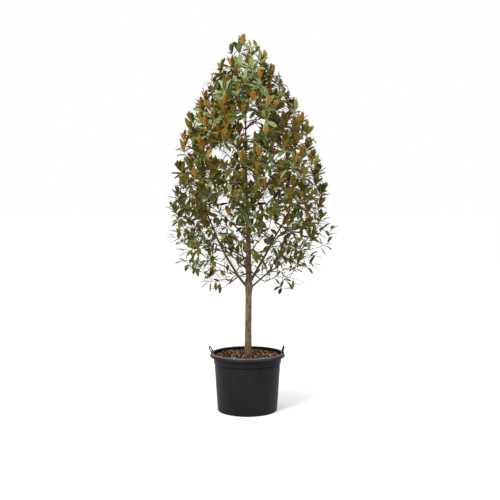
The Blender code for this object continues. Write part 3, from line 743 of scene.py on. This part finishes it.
def bough_courses(homes):
    """Each bough's points and radii from its foot inside its carrier to its tip.

    A bough is given by what carries it, its foot's height there or its share of the way
    along it, its tip's bearing, reach and height, its bow, and its thickness.
    """
    rows = dict(SEEN_BOUGHS)
    for order, (name, home) in enumerate(homes.items()):
        if name not in rows and tier_of(name) in TIERS_ON_BOUGHS:
            rows[name] = hidden_bough(home, order % BOUGHS_A_TURN)
    courses = {}
    for name, (carrier, foot, bearing, reach, height, bow, thickness) in rows.items():
        if carrier == "trunk":
            start = trunk_place(foot)
        else:
            line = courses[carrier][0]
            start = line[round(foot * (len(line) - 1))]
        tip = polar(bearing, reach, height)
        count = max(int((tip - start).length / BOUGH_STEP), 8)
        points = []
        radii = []
        seed = len(courses) * 3.7
        for i in range(count + 1):
            share = i / count
            spot = Vector((share * BOUGH_KINKS, seed, 0.0))
            kink = noise.noise_vector(spot) * math.sin(math.pi * share)
            points.append(bowed(start, tip, bow, share) + kink * BOUGH_KINK)
            collar = BOUGH_COLLAR * math.exp(-share * (tip - start).length / BOUGH_COLLAR_LENGTH)
            radii.append(thickness / 2 * (1 - (1 - BOUGH_TAPER) * share + collar))
        courses[name] = (points, radii)
    return rows, courses


homes = mass_homes()
noise.seed_set(KINK_SEED)
bough_rows, courses = bough_courses(homes)


def bough_seats():
    """Bearing, height and thickness of each bough where it leaves the trunk's side."""
    seats = []
    for carrier, foot, bearing, reach, height, bow, thickness in bough_rows.values():
        if carrier == "trunk":
            across = (polar(bearing, reach, height) - trunk_place(foot)).xy.length
            slant = (height - foot) / max(across, 0.01)
            seats.append((math.radians(bearing), foot + slant * trunk_radius(foot), thickness))
    return seats


SEATS = bough_seats()


def trunk_relief(angle, place):
    """The trunk's relief: wrinkles, root buttresses and a swollen seat under each bough."""
    middle = trunk_place(place.z)
    bearing = math.atan2(place.y - middle.y, place.x - middle.x)
    depth = TRUNK_WRINKLES * min(trunk_radius(place.z) / 0.02, 1.3)
    near_root = math.exp(-(place.z - MULCH_HEIGHT) / BUTTRESS_HEIGHT)
    change = bark_wrinkles(bearing, place, depth)
    change += BUTTRESS_DEPTH * near_root * math.cos(BUTTRESSES * bearing + 0.8)
    for seat_bearing, seat_height, thickness in SEATS:
        rise = (place.z - seat_height) / (thickness * SEAT_LENGTH)
        if abs(rise) < 3:
            swing = (bearing - seat_bearing + math.pi) % (2 * math.pi) - math.pi
            change += SEAT_SWELL * thickness * math.exp(-rise * rise - (swing / SEAT_SWING) ** 2)
    return change


def bough_relief(angle, place):
    return bark_wrinkles(angle, place, BOUGH_WRINKLES)


def trunk_mesh():
    foot = MULCH_HEIGHT - 0.012
    count = int((TRUNK_TOP - foot) / TRUNK_STEP)
    heights = [foot + (TRUNK_TOP - foot) * i / count for i in range(count + 1)]
    points = [trunk_place(height) for height in heights]
    radii = [trunk_radius(max(height, MULCH_HEIGHT)) for height in heights]
    return joined_mesh("trunk_bark", *tube_arrays(points, radii, TRUNK_SIDES, trunk_relief))


def boughs_mesh():
    parts = [tube_arrays(*course, BOUGH_SIDES, bough_relief) for course in courses.values()]
    return joined_mesh("bough_bark", *merged(parts))


YOUNG_BARK = (shade(46, 33, 22), shade(68, 50, 35), shade(96, 76, 55))
OLD_BARK = (shade(58, 44, 28), shade(89, 71, 49), shade(134, 112, 86))
# The trunk darkens upwards into the young bark's colours: younger bark, and painted shade under the
# crown.
bark = bark_material("trunk_bark", *OLD_BARK, 80.0, YOUNG_BARK)
bough_bark = bark_material("bough_bark", *YOUNG_BARK, 170.0)
trunk = add_piece("trunk_bark", trunk_mesh(), [bark], 75)
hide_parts("trunk")
boughs = add_piece("bough_bark", boughs_mesh(), [bough_bark], 75)
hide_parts(*["bough_" + name for name in courses])


# Twigs branch from one stem in each mass of leaves, each towards a spot of its own. They
# thicken with what they carry, bend upwards at their ends high in the crown, and lie
# nearly level or droop a little at its foot.
CROWN_FOOT = 0.920
CROWN_TOP = 3.060
HIGHEST_TIP = 3.022
CROWN_GIRTH = 1.33
CROWN_BELLY = 0.34
CROWN_POINT = 0.80
CROWN_LOPSIDE = 0.035
CROWN_LOPSIDE_FALL = 0.060
OPENINGS = (
    (0.040, 2.285, 0.115, 0.105),
    (-0.190, 2.035, 0.125, 0.078),
    (0.232, 2.015, 0.070, 0.045),
    (-0.200, 1.660, 0.050, 0.070),
    (0.152, 1.680, 0.055, 0.085),
    (0.015, 1.130, 0.030, 0.120),
    (0.030, 0.985, 0.250, 0.090),
)
THIN_PLACES = (
    (-0.220, 1.500, 0.100, 0.085),
    (0.190, 1.460, 0.115, 0.085),
    (0.110, 1.080, 0.330, 0.050),
)
VIEWER = Vector((0.021, -6.300, 1.611))
SHOOTS = (
    (180, 0.030, 2.918),
    (346, 0.670, 1.440),
    (350, 0.640, 1.330),
    (178, 0.590, 1.385),
    (186, 0.300, 1.030),
    (172, 0.285, 1.085),
    (356, 0.350, 1.085),
    (266, 0.230, 1.470),
    (276, 0.250, 1.620),
    (262, 0.210, 1.770),
    (273, 0.220, 1.910),
    (234, 0.124, 1.158),
    (214, 0.107, 1.078),
    (319, 0.153, 1.214),
)
SPRAYS = {"skirt": 12, "lower": 18, "middle": 20, "upper": 18, "high": 17, "crest": 13, "top": 9}
SPRAY_TRIES = 60
SPRAY_DEPTH = 0.25
SPRAY_TURN = 50
SPRAY_RISE = 0.24
OVERHANG = 0.058
STEM_CLIMB = 0.100
SPACE_GAP = 0.001
TWIG_STEP = 0.018
TWIG_TIP_RADIUS = 0.0014
TWIG_GROWTH = 0.45
LOW_CLIMB = -6
CLIMB_GAIN = 82
TOP_CLIMB_GAIN = 12
CLIMB_SPREAD = 8
TWIG_BEND = 0.36
TWIG_SHAKE = 0.0022
FORWARD_CARE = 0.45
LENGTH_CARE = 0.22
FINE_SHOOTS = 4
FINE_SHOOT_RISES = (0.10, 0.24)
FINE_SHOOT_DEPTH = 0.10
OPENING_SHOOTS = 7
OPENING_SHOOT_DEPTH = 0.28


def crown_reach(height, bearing):
    """How far the egg-shaped crown reaches from the trunk, a little further to one side."""
    share = (height - CROWN_FOOT) / (CROWN_TOP - CROWN_FOOT)
    if not 0.0 < share < 1.0:
        return 0.0
    egg = CROWN_GIRTH * share**CROWN_BELLY * (1 - share) ** CROWN_POINT
    lopside = CROWN_LOPSIDE - CROWN_LOPSIDE_FALL * share
    return egg + lopside * math.cos(math.radians(bearing))


def crown_depth(place):
    """How far a place lies inside the crown's outer face."""
    bearing = math.degrees(math.atan2(place.y, place.x))
    return crown_reach(place.z, bearing) - math.hypot(place.x, place.y)


def as_seen(place):
    """Where the place appears from the front, on the upright plane through the trunk."""
    return VIEWER + (place - VIEWER) * (-VIEWER.y / (place.y - VIEWER.y))


def in_opening(place, openings=OPENINGS, size=1.0):
    """Whether the place appears in one of the crown's open places, seen from the front.

    An opening is an oval: its middle across and up, and half its width and height.
    """
    seen = as_seen(place)
    for across, height, half_width, half_height in openings:
        if ((seen.x - across) / half_width) ** 2 + ((seen.z - height) / half_height) ** 2 < size**2:
            return True
    return False


class Space:
    """The room that one mass may fill: nearer to its middle than to any other's."""

    def __init__(self, home, middles):
        self.middle = middles[home]
        self.walls = []
        for name, other in middles.items():
            if name != home:
                normal = other - self.middle
                self.walls.append((normal.normalized(), normal.length / 2 - SPACE_GAP / 2))

    def holds(self, place):
        step = place - self.middle
        return all(step.dot(normal) <= limit for normal, limit in self.walls)


def random_place(home, chance):
    """A place for a spray in the leafy outer part of the crown near a mass's middle."""
    bearing, reach, height = home
    turn = SPRAY_TURN if reach else 180.0
    bearing += chance.uniform(-turn, turn)
    height = min(height + chance.uniform(-SPRAY_RISE, SPRAY_RISE), HIGHEST_TIP - OVERHANG)
    outer = max(crown_reach(height, bearing) - OVERHANG, OVERHANG / 5)
    return polar(bearing, outer * math.sqrt(chance.uniform(SPRAY_DEPTH, 1.0)), height)


def spread_spots(spaces, chance):
    """Evenly spread spots for each mass's sprays, each the roomiest of several tries.

    The shoots that show singly come first, each set by its bearing, reach and height.
    """
    spots = {name: [] for name in homes}
    taken = [polar(*shoot) for shoot in SHOOTS]
    for shoot in taken:
        spots[next(name for name in homes if spaces[name].holds(shoot))].append(shoot)
    for turn in range(max(SPRAYS.values())):
        for name, home in homes.items():
            if len(spots[name]) > turn or turn >= SPRAYS[tier_of(name)]:
                continue
            best = None
            best_room = 0.0
            for _ in range(SPRAY_TRIES):
                place = random_place(home, chance)
                if in_opening(place) or not spaces[name].holds(place):
                    continue
                room = min((place - other).length for other in taken)
                if room > best_room:
                    best, best_room = place, room
            if best is not None:
                spots[name].append(best)
                taken.append(best)
    return spots


def risen(height, foot, span):
    """How far a height has come through a span that starts at a foot, from 0 to 1."""
    return min(max((height - foot) / span, 0.0), 1.0)


def shoot_climb(height):
    """How steeply a twig ends, in degrees: level at the crown's foot, upright at its top."""
    climb = LOW_CLIMB + CLIMB_GAIN * risen(height, 0.98, 0.85) ** 0.7
    return climb + TOP_CLIMB_GAIN * risen(height, 2.30, 0.40)


class Branchwork:
    """The stem and twigs of one mass: places, each with the one it grew from."""

    def __init__(self, start, heading, chance):
        self.places = [start]
        self.headings = [heading]
        self.parents = [-1]
        self.lengths = [0.0]
        self.chains = []
        self.fine_shoots = set()
        self.chance = chance

    def cost(self, index, spot):
        """How little a twig to the spot suits this place: it should be near and slant forwards."""
        way = spot - self.places[index]
        forwards = way.normalized().dot(self.headings[index])
        slant = 1 + FORWARD_CARE - FORWARD_CARE * forwards
        return way.length * slant + LENGTH_CARE * self.lengths[index]

    def grow_fine_shoot(self, space):
        """A thin shoot that rises from somewhere along the stem and carries little."""
        foot = self.places[self.chance.randrange(len(self.places) // 2)]
        aside = Vector((self.chance.uniform(-1, 1), self.chance.uniform(-1, 1), 0.0)) * 0.45
        spot = foot + (UP + aside) * self.chance.uniform(*FINE_SHOOT_RISES)
        if space.holds(spot) and crown_depth(spot) > FINE_SHOOT_DEPTH:
            self.fine_shoots.add(len(self.chains))
            self.grow(spot)

    def least_cost(self, spot):
        return min(self.cost(i, spot) for i in range(len(self.places)))

    def grow(self, spot):
        """A curved twig to the spot from the place that suits it best."""
        index = min(range(len(self.places)), key=lambda i: self.cost(i, spot))
        start = self.places[index]
        way = spot - start
        length = way.length
        outward = Vector((spot.x, spot.y, 0.0)).normalized() if spot.xy.length > 0.02 else UP
        climb = math.radians(shoot_climb(spot.z) + self.chance.gauss(0, CLIMB_SPREAD))
        wanted = outward * math.cos(climb) + UP * math.sin(climb)
        ending = (way.normalized() * 0.18 + wanted).normalized()
        leaving = (self.headings[index] * 0.8 + way.normalized()).normalized()
        count = max(int(length / TWIG_STEP), 3)
        chain = [index]
        for i in range(1, count + 1):
            t = i / count
            first = start + leaving * length * TWIG_BEND
            last = spot - ending * length * TWIG_BEND
            place = (start * (1 - t) ** 3 + first * 3 * t * (1 - t) ** 2
                     + last * 3 * t * t * (1 - t) + spot * t**3)
            shake = Vector([self.chance.uniform(-1, 1) for _ in range(3)]) * TWIG_SHAKE
            place += shake * math.sin(math.pi * t)
            before = self.places[chain[-1]]
            self.parents.append(chain[-1])
            self.lengths.append(self.lengths[chain[-1]] + (place - before).length)
            self.headings.append((place - before).normalized())
            self.places.append(place)
            chain.append(len(self.places) - 1)
        self.chains.append(chain)

    def loads(self):
        """How many sprays each place carries."""
        load = [0] * len(self.places)
        for chain in self.chains:
            index = chain[-1]
            while index >= 0:
                load[index] += 1
                index = self.parents[index]
        return load

    def tubes(self):
        load = self.loads()
        parts = []
        for chain in self.chains:
            points = [self.places[i] for i in chain]
            radii = [TWIG_TIP_RADIUS * load[i] ** TWIG_GROWTH for i in chain]
            radii[0] = radii[1] * 1.15
            sides = 8 if load[chain[1]] > 2 else 6
            parts.append(tube_arrays(points, radii, sides))
        return parts


def grown_branchwork():
    """Every mass's branchwork, with its spots reached from the nearest to the furthest."""
    middles = {}
    for name, (bearing, reach, height) in homes.items():
        middles[name] = trunk_place(height - STEM_CLIMB) + polar(bearing, reach, STEM_CLIMB)
    spaces = {name: Space(name, middles) for name in homes}
    spots = spread_spots(spaces, random.Random(17))
    works = {}
    for order, (name, (bearing, reach, height)) in enumerate(homes.items()):
        if name in courses:
            points = courses[name][0]
            start = points[-1]
            heading = (points[-1] - points[-3]).normalized()
        elif name == "top":
            start = trunk_place(TRUNK_TOP - 0.01)
            heading = UP
        else:
            start = trunk_place(height - STEM_CLIMB)
            heading = (polar(bearing, 1.0, 0.9)).normalized()
        work = Branchwork(start, heading, random.Random(100 + order))
        lead = max(spots[name], key=lambda spot: (spot - start).dot(heading))
        work.grow(lead)
        for spot in sorted(spots[name], key=lambda spot: (spot - start).length):
            if spot is not lead:
                work.grow(spot)
        for _ in range(FINE_SHOOTS):
            work.grow_fine_shoot(spaces[name])
        works[name] = work
    return works


def grow_opening_shoots(works, chance):
    """Thin bare shoots that cross the open places."""
    for across, height, half_width, half_height in OPENINGS[:-1]:
        for _ in range(OPENING_SHOOTS):
            aside = chance.uniform(-0.9, 0.9) * half_width
            up = chance.uniform(-0.2, 1.0) * half_height
            seen = Vector((across + aside, 0.0, height + up))
            depth = chance.uniform(-1, 1) * OPENING_SHOOT_DEPTH
            spot = VIEWER + (seen - VIEWER) * ((depth - VIEWER.y) / -VIEWER.y)
            work = min(works.values(), key=lambda work: work.least_cost(spot))
            work.fine_shoots.add(len(work.chains))
            work.grow(spot)


works = grown_branchwork()
grow_opening_shoots(works, random.Random(23))
twig_bark = bark_material("twig_bark", shade(52, 36, 20), shade(80, 58, 34), shade(112, 86, 54), 260.0)
twig_parts = [part for work in works.values() for part in work.tubes()]
twigs = add_piece("twigs", joined_mesh("twigs", *merged(twig_parts)), [twig_bark], 60)


# The leaves are thick and leathery: glossy green above with a pale midrib, felted rust-brown
# below. The pale margin is a painted highlight. They grow in sprays round the twigs' ends,
# cupped high in the crown and level at its foot. Each tint: upper side, midrib and margin,
# felt, and its shares at the top and foot. These shares paint light and shade: the pale
# grey-green tints, which stand in part for the sky's reflection on the gloss, are dealt mostly
# high in the crown, and the dark ones mostly at its foot.
LEAF_LENGTH = 0.090
LEAF_WIDTH = 0.0335
LEAF_STALK = 0.010
RIB_HALF_WIDTH = 0.0009
LEAF_STATIONS = 6
LEAF_SHAPES = 8
LEAF_FOLDS = (6, 22)
LEAF_WAVES = (0.0004, 0.0016)
LEAF_SWAY = 0.05
LEAF_THICKNESSES = (0.0, 0.0005, 0.0016, 0.0016, 0.0005, 0.0)
STALK_SIDES = 5
YOUNG_ARCHES = (-0.10, 0.10)
OLD_ARCHES = (0.02, 0.32)
YOUNG_LEAVES = (4, 4, 5, 5)
OLD_LEAVES = (5, 6, 7, 8, 9)
LOW_LEAVES = (5, 6, 7, 8)
YOUNG_SPACING = 0.0020
OLD_SPACING = 0.0062
LOW_SPACING = 0.0170
YOUNG_TILTS = (8, 34)
OLD_TILTS = (30, 80)
TOP_TILTS = (15, 50)
TOP_HEIGHT = 2.72
LOW_TILTS = (30, 78)
LOW_SIZE = 0.88
SPARSE_HEIGHT = 1.13
SPARSE_LEAVES = (2, 3, 4, 4, 5)
LOW_DROOP = 0.12
MARGIN = 0.80
STRAY_SHARE = 0.2
TURN_TO_LIGHT = 0.9
GOLDEN_ANGLE = math.radians(137.5)
OPENING_SHARE = 0.85
THIN_SHARE = 0.55
SIGHT_WIDTH = 0.032
SIGHT_SHARE = 0.90
TRUNK_SIGHT_SHARE = 0.35
TRUNK_SIGHT_HEIGHTS = [1.0 + 0.016 * step for step in range(24)]
TOP_MARGIN = 0.020
TOP_MARGIN_HEIGHT = 2.5
LEAF_OVERHANG = 0.012
LEAF_CLEARANCE = 0.006
TINTS = {
    "deep": ((39, 54, 14), (110, 119, 52), (82, 75, 29), (0.06, 0.33)),
    "leaf": ((60, 79, 26), (134, 143, 72), (119, 89, 31), (0.30, 0.20)),
    "grey": ((99, 117, 70), (160, 172, 120), (133, 97, 38), (0.29, 0.06)),
    "olive": ((72, 83, 26), (134, 137, 60), (89, 83, 32), (0.05, 0.24)),
    "fresh": ((102, 120, 65), (165, 177, 116), (147, 106, 43), (0.18, 0.04)),
    "dusky": ((34, 45, 12), (88, 95, 40), (66, 61, 24), (0.02, 0.17)),
    "young": ((112, 130, 78), (174, 184, 124), (163, 118, 56), (0.06, 0.0)),
}
leaf_chance = random.Random(41)


def blade_half_width(share):
    """Half the width of the blade: a wedge at its foot, widest past the middle, blunt at its tip."""
    return LEAF_WIDTH / 2 * 2.44 * share**0.72 * (1 - share) ** 0.58


def leaf_corners(chance, arches):
    """One leaf's corners from its stalk at the origin, and its flat map.

    It lies along Z with its upper side towards Y. The upper side comes first, then the felt
    and the stalk.
    """
    fold = math.radians(chance.uniform(*LEAF_FOLDS))
    arch = chance.uniform(*arches)
    wave = chance.uniform(*LEAF_WAVES)
    start = chance.uniform(0, 6.28)
    sway = chance.uniform(-LEAF_SWAY, LEAF_SWAY)
    upper = []
    under = []
    stalk = []
    spread = []
    for station in range(LEAF_STATIONS + 1):
        share = station / LEAF_STATIONS
        rib = RIB_HALF_WIDTH * (1 - 0.8 * share)
        half = max(blade_half_width(share), rib * 1.5)
        along = LEAF_STALK + LEAF_LENGTH * share * (1 - 0.25 * arch * arch * share)
        lift = -LEAF_LENGTH * arch * share**2
        aside = LEAF_LENGTH * sway * share**2
        parts = (-1.0, -MARGIN, -rib / half, rib / half, MARGIN, 1.0)
        for part, thickness in zip(parts, LEAF_THICKNESSES):
            across = half * part
            spread.append((across / LEAF_WIDTH + 0.5, share))
            belly = 0.10 * half * math.sin(math.pi * abs(part))
            ripple = wave * abs(part) * math.sin(start + 15 * share + (1.3 if part > 0 else 0))
            rise = abs(across) * math.tan(fold) + belly + ripple
            thick = thickness * (1 - 0.6 * share)
            upper.append((across * math.cos(fold) + aside, lift + rise, along))
            under.append((across * math.cos(fold) + aside, lift + rise - thick, along))
    for along, size in ((-0.002, 0.0013), (LEAF_STALK + 0.002, RIB_HALF_WIDTH)):
        for step in range(STALK_SIDES):
            angle = step * 2 * math.pi / STALK_SIDES
            stalk.append((size * math.cos(angle), size * math.sin(angle) - 0.0004, along))
    spread += spread + [(0.5, 0.0)] * len(stalk)
    return np.array(upper + under + stalk), np.array(spread)


def leaf_faces():
    """The faces that every leaf has, and their paints.

    Paint 0 is the upper side, 1 the midrib, margin and stalk, and 2 the felt below. On the
    margin, the pale paint 1 is a painted highlight.
    """
    width = len(LEAF_THICKNESSES)
    count = width * (LEAF_STATIONS + 1)
    faces = []
    paints = []
    for station in range(LEAF_STATIONS):
        for column in range(width - 1):
            a = station * width + column
            ring = (a, a + 1, a + 1 + width, a + width)
            low = [i + (count if LEAF_THICKNESSES[i % width] else 0) for i in ring]
            faces += [(ring[0], ring[2], ring[1]), (ring[0], ring[3], ring[2])]
            faces += [(low[0], low[1], low[2]), (low[0], low[2], low[3])]
            # The margin strips take the pale rib colour as a painted highlight.
            paints += [0, 0, 2, 2] if column in (1, 3) else [1, 1, 2, 2]
    for step in range(STALK_SIDES):
        a = 2 * count + step
        b = 2 * count + (step + 1) % STALK_SIDES
        faces += [(a, b, b + STALK_SIDES), (a, b + STALK_SIDES, a + STALK_SIDES)]
        paints += [1, 1]
    return np.array(faces), np.array(paints)


def leaf_axes(ahead, upper):
    """The directions of a leaf's own X, Y and Z where it grows."""
    above = (upper - ahead * upper.dot(ahead)).normalized()
    return np.array([above.cross(ahead), above, ahead])


def along_twig(places, distance):
    """The place and heading at a distance back from a twig's end."""
    spot = len(places) - 1
    while spot > 1 and (places[spot] - places[spot - 1]).length < distance:
        distance -= (places[spot] - places[spot - 1]).length
        spot -= 1
    axis = (places[spot] - places[spot - 1]).normalized()
    return places[spot] - axis * distance, axis


def between_tilts(tilts, share):
    return math.radians(tilts[0] + (tilts[1] - tilts[0]) * share + leaf_chance.gauss(0, 6))


def cup_share(height):
    """How much the leaves stand in upright cups: not at all at the crown's foot, fully on top."""
    return risen(height, 1.15, 0.95)


def spray_places(places, few):
    """Stalk places, directions, upper sides, sizes and ages of the leaves at a twig's end.

    High in the crown the young leaves stand in an upright cup above a ruff of older ones.
    Low in the crown the leaves are smaller, further apart, and hang a little.
    """
    cup = cup_share(places[-1].z)
    if few:
        young, old = 0, leaf_chance.choice((0, 1, 2))
    elif leaf_chance.random() < cup:
        young, old = leaf_chance.choice(YOUNG_LEAVES), leaf_chance.choice(OLD_LEAVES)
    elif places[-1].z < SPARSE_HEIGHT:
        young, old = 0, leaf_chance.choice(SPARSE_LEAVES)
    else:
        young, old = 0, leaf_chance.choice(LOW_LEAVES)
    roll = leaf_chance.uniform(0, 2 * math.pi)
    size = (LOW_SIZE + (1 - LOW_SIZE) * cup) * (0.75 if few else 1.0)
    back = 0.0
    leaves = []
    for order in range(young + old):
        root, axis = along_twig(places, back)
        axis = (axis + UP * TURN_TO_LIGHT * cup).normalized()
        roll += GOLDEN_ANGLE + leaf_chance.uniform(-0.25, 0.25)
        outward = Matrix.Rotation(roll, 3, axis) @ axis.orthogonal().normalized()
        share = (order - young + 0.5) / max(old, 1)
        if order < young:
            tilt = between_tilts(YOUNG_TILTS, order / young)
            back += YOUNG_SPACING
            droop = 0.0
        elif young:
            tilt = between_tilts(TOP_TILTS if root.z > TOP_HEIGHT else OLD_TILTS, share)
            back += OLD_SPACING
            droop = 0.15
        else:
            tilt = between_tilts(LOW_TILTS, share)
            back += LOW_SPACING
            droop = LOW_DROOP * (1.15 - cup)
        ahead = (axis * math.cos(tilt) + outward * math.sin(tilt) - UP * droop).normalized()
        upper = axis + UP * 0.35 if young else axis * 0.25 + UP
        if abs(ahead.dot(upper.normalized())) > 0.97:
            upper = upper - outward
        scale = size * leaf_chance.uniform(0.84, 1.12)
        leaves.append((root, ahead, upper, scale, order < young))
    return leaves


def sight_lines():
    """Places along the boughs and the trunk where they show, and how bare they stay."""
    lines = []
    for name in SEEN_BOUGHS:
        for point in courses[name][0][::3]:
            lines.append((as_seen(point), point.y, SIGHT_SHARE))
    for height in TRUNK_SIGHT_HEIGHTS:
        point = trunk_place(height)
        lines.append((as_seen(point), point.y, TRUNK_SIGHT_SHARE))
    return lines


SIGHT_LINES = sight_lines()


def bare_share(place):
    """How likely a leaf at the place is to be missing because it would hide a bough."""
    seen = as_seen(place)
    for spot, depth, share in SIGHT_LINES:
        if place.y < depth and (spot - seen).length < SIGHT_WIDTH:
            return share
    return 0.0


def leaf_suits(root, ahead, scale, loose):
    """Whether a leaf stays within the crown, off the trunk and out of the open places."""
    tip = root + ahead * LEAF_LENGTH * scale
    middle = root + ahead * LEAF_LENGTH * scale * 0.55
    margin = TOP_MARGIN if tip.z > TOP_MARGIN_HEIGHT else -LEAF_OVERHANG
    if tip.z > HIGHEST_TIP or (crown_depth(tip) < margin and not loose):
        return False
    if in_opening(middle, size=0.85) and leaf_chance.random() < OPENING_SHARE:
        return False
    if in_opening(middle, THIN_PLACES) and leaf_chance.random() < THIN_SHARE:
        return False
    if not loose and leaf_chance.random() < bare_share(middle):
        return False
    core = trunk_place(middle.z)
    return (middle - core).length > trunk_radius(middle.z) + LEAF_CLEARANCE


def side_veins_effect():
    """Veins that leave the midrib forwards in pairs: their height over a leaf's flat map."""
    tree, given, result = new_effect(
        "side_veins", [("Pairs", "Float", 9.0), ("Slant", "Float", 5.0)], [("Height", "Float")]
    )
    place = add_node(tree, "SeparateXYZ", Vector=add_node(tree, "UVMap").outputs["UV"])
    aside = calculated(tree, "ABSOLUTE", calculated(tree, "SUBTRACT", place.outputs["X"], 0.5))
    back = calculated(tree, "MULTIPLY", aside, given["Slant"])
    count = calculated(tree, "MULTIPLY", place.outputs["Y"], given["Pairs"])
    step = calculated(tree, "FRACT", calculated(tree, "SUBTRACT", count, back))
    crest = calculated(tree, "ABSOLUTE", calculated(tree, "SUBTRACT", step, 0.5))
    plug(tree, ranged(tree, crest, 0.36, 0.5), result["Height"])
    return tree


side_veins = side_veins_effect()


def leaf_material(name, colour, low, high, specular, relief):
    """A leaf's skin in one colour, with a fine leathery or felted grain."""
    material, tree, surface = new_material(name, specular=specular)
    plug(tree, shade(*colour), surface.inputs["Base Color"])
    grain = placed_effect(tree, patches, Scale=260.0, Detail=3.0, Low=0.35, High=0.65)
    plug(tree, ranged(tree, grain["Height"], 0.3, 0.7, low, high), surface.inputs["Roughness"])
    veins = placed_effect(tree, side_veins)
    height = calculated(tree, "MULTIPLY_ADD", veins["Height"], relief, grain["Height"])
    add_bump(tree, surface, height, 0.35, 0.0008)
    return material


def grow_leaves():
    """Each tint's leaves. A spray's young leaves get one tint and its old leaves another."""
    old_shapes = [leaf_corners(leaf_chance, OLD_ARCHES) for _ in range(LEAF_SHAPES)]
    young_shapes = [leaf_corners(leaf_chance, YOUNG_ARCHES) for _ in range(LEAF_SHAPES)]
    leaves = {name: [] for name in TINTS}
    names = list(TINTS)
    shoots = [polar(*shoot) for shoot in SHOOTS]
    for work in works.values():
        for order, chain in enumerate(work.chains):
            places = [work.places[i] for i in chain]
            cup = cup_share(places[-1].z)
            # Painted light and shade: lighter tints are dealt high in the crown, darker ones low.
            shares = [foot + (top - foot) * cup * cup for *_, (top, foot) in TINTS.values()]
            tints = leaf_chance.choices(names, shares, k=2)
            loose = places[-1] in shoots
            for root, ahead, upper, scale, young in spray_places(places, order in work.fine_shoots):
                corners, spread = leaf_chance.choice(young_shapes if young else old_shapes)
                if leaf_suits(root, ahead, scale, loose):
                    tint = tints[young != (leaf_chance.random() < STRAY_SHARE)]
                    placed = corners * scale @ leaf_axes(ahead, upper) + np.array(root)
                    leaves[tint].append((placed, spread))
    return leaves


leaves = grow_leaves()
faces, paints = leaf_faces()
leaf_pieces = []
for name, (green, rib, rust, _) in TINTS.items():
    skins = [
        leaf_material("leaf_upper_" + name, green, 0.28, 0.44, 0.31, -0.5),
        leaf_material("leaf_rib_and_margin_highlight_" + name, rib, 0.45, 0.60, 0.25, 0.0),
        leaf_material("leaf_felt_" + name, rust, 0.80, 0.95, 0.05, 0.7),
    ]
    corners, spreads = zip(*leaves[name])
    parts = [(placed, faces) for placed in corners]
    painted = np.tile(paints, len(parts))
    mesh = joined_mesh("leaves_" + name, *merged(parts), painted, np.concatenate(spreads))
    leaf_pieces.append(add_piece("leaves_" + name, mesh, skins, 70))
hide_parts(*["foliage_" + name for name in homes])
for piece in leaf_pieces:
    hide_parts(*["foliage_" + name for name in homes])


# The studio: a plain pale floor under an even white sky, with one broad soft lamp high on
# the left and a weaker one low on the right. The camera stands level in front of the tree,
# and its picture is shifted down a little.
FLOOR_SIZE = 400.0
FLOOR_GLOW = 0.06
SKY_LOW = 0.34
SKY_HIGH = 1.34
LENS = 56.66
SHIFT = -0.0840


def pale_floor():
    material, tree, surface = new_material("studio_floor", 0.9)
    speck = placed_effect(tree, patches, Scale=3.0, Low=0.3, High=0.7)
    tone = mixed(tree, speck["Mask"], shade(250, 250, 250), shade(254, 254, 254))
    plug(tree, tone, surface.inputs["Base Color"])
    surface.inputs["Emission Color"].default_value = (1.0, 1.0, 1.0, 1.0)
    surface.inputs["Emission Strength"].default_value = FLOOR_GLOW
    half = FLOOR_SIZE / 2
    corners = np.array([(-half, -half, 0), (half, -half, 0), (half, half, 0), (-half, half, 0)], float)
    mesh = joined_mesh("studio_floor", corners, np.array([[0, 1, 2, 3]]))
    mesh.materials.append(material)
    floor = new_object("studio_floor", mesh)


def soft_lamp(name, place, aim, size, power):
    lamp = bpy.data.lights.new(name, "AREA")
    lamp.size = size
    lamp.energy = power
    holder = new_object(name, lamp)
    holder.location = place
    holder.rotation_euler = (Vector(aim) - Vector(place)).to_track_quat("-Z", "Y").to_euler()


def overcast_sky():
    """A sky that lights most from overhead, and that the camera sees as plain white."""
    sky = bpy.data.worlds.new("studio_sky")
    sky.use_nodes = True
    tree = sky.node_tree
    height = add_node(tree, "SeparateXYZ", Vector=add_node(tree, "TexCoord").outputs["Generated"])
    glow = ranged(tree, height.outputs["Z"], 0.0, 1.0, SKY_LOW, SKY_HIGH)
    seen = add_node(tree, "LightPath").outputs["Is Camera Ray"]
    plain = add_node(tree, "Background", Color=(1.0, 1.0, 1.0, 1.0), Strength=1.0)
    lamp = add_node(tree, "Background", Color=(1.0, 1.0, 1.0, 1.0), Strength=glow)
    both = add_node(tree, "MixShader", Fac=seen)
    plug(tree, lamp.outputs[0], both.inputs[1])
    plug(tree, plain.outputs[0], both.inputs[2])
    plug(tree, both.outputs[0], tree.nodes["World Output"].inputs["Surface"])
    bpy.context.scene.world = sky


pale_floor()
overcast_sky()
soft_lamp("lamp_left", (-3.4, -4.6, 5.0), (0.0, 0.0, 1.5), 2.4, 430.0)
soft_lamp("lamp_right", (4.6, -2.4, 2.6), (0.0, 0.0, 1.4), 2.6, 60.0)
bpy.context.scene.view_settings.view_transform = "Standard"

lens = bpy.data.cameras.new("camera")
lens.lens = LENS
lens.sensor_width = 36.0
lens.shift_y = SHIFT
camera = new_object("camera", lens)
camera.location = VIEWER
camera.rotation_euler = (math.radians(90), 0.0, 0.0)
bpy.context.scene.camera = camera
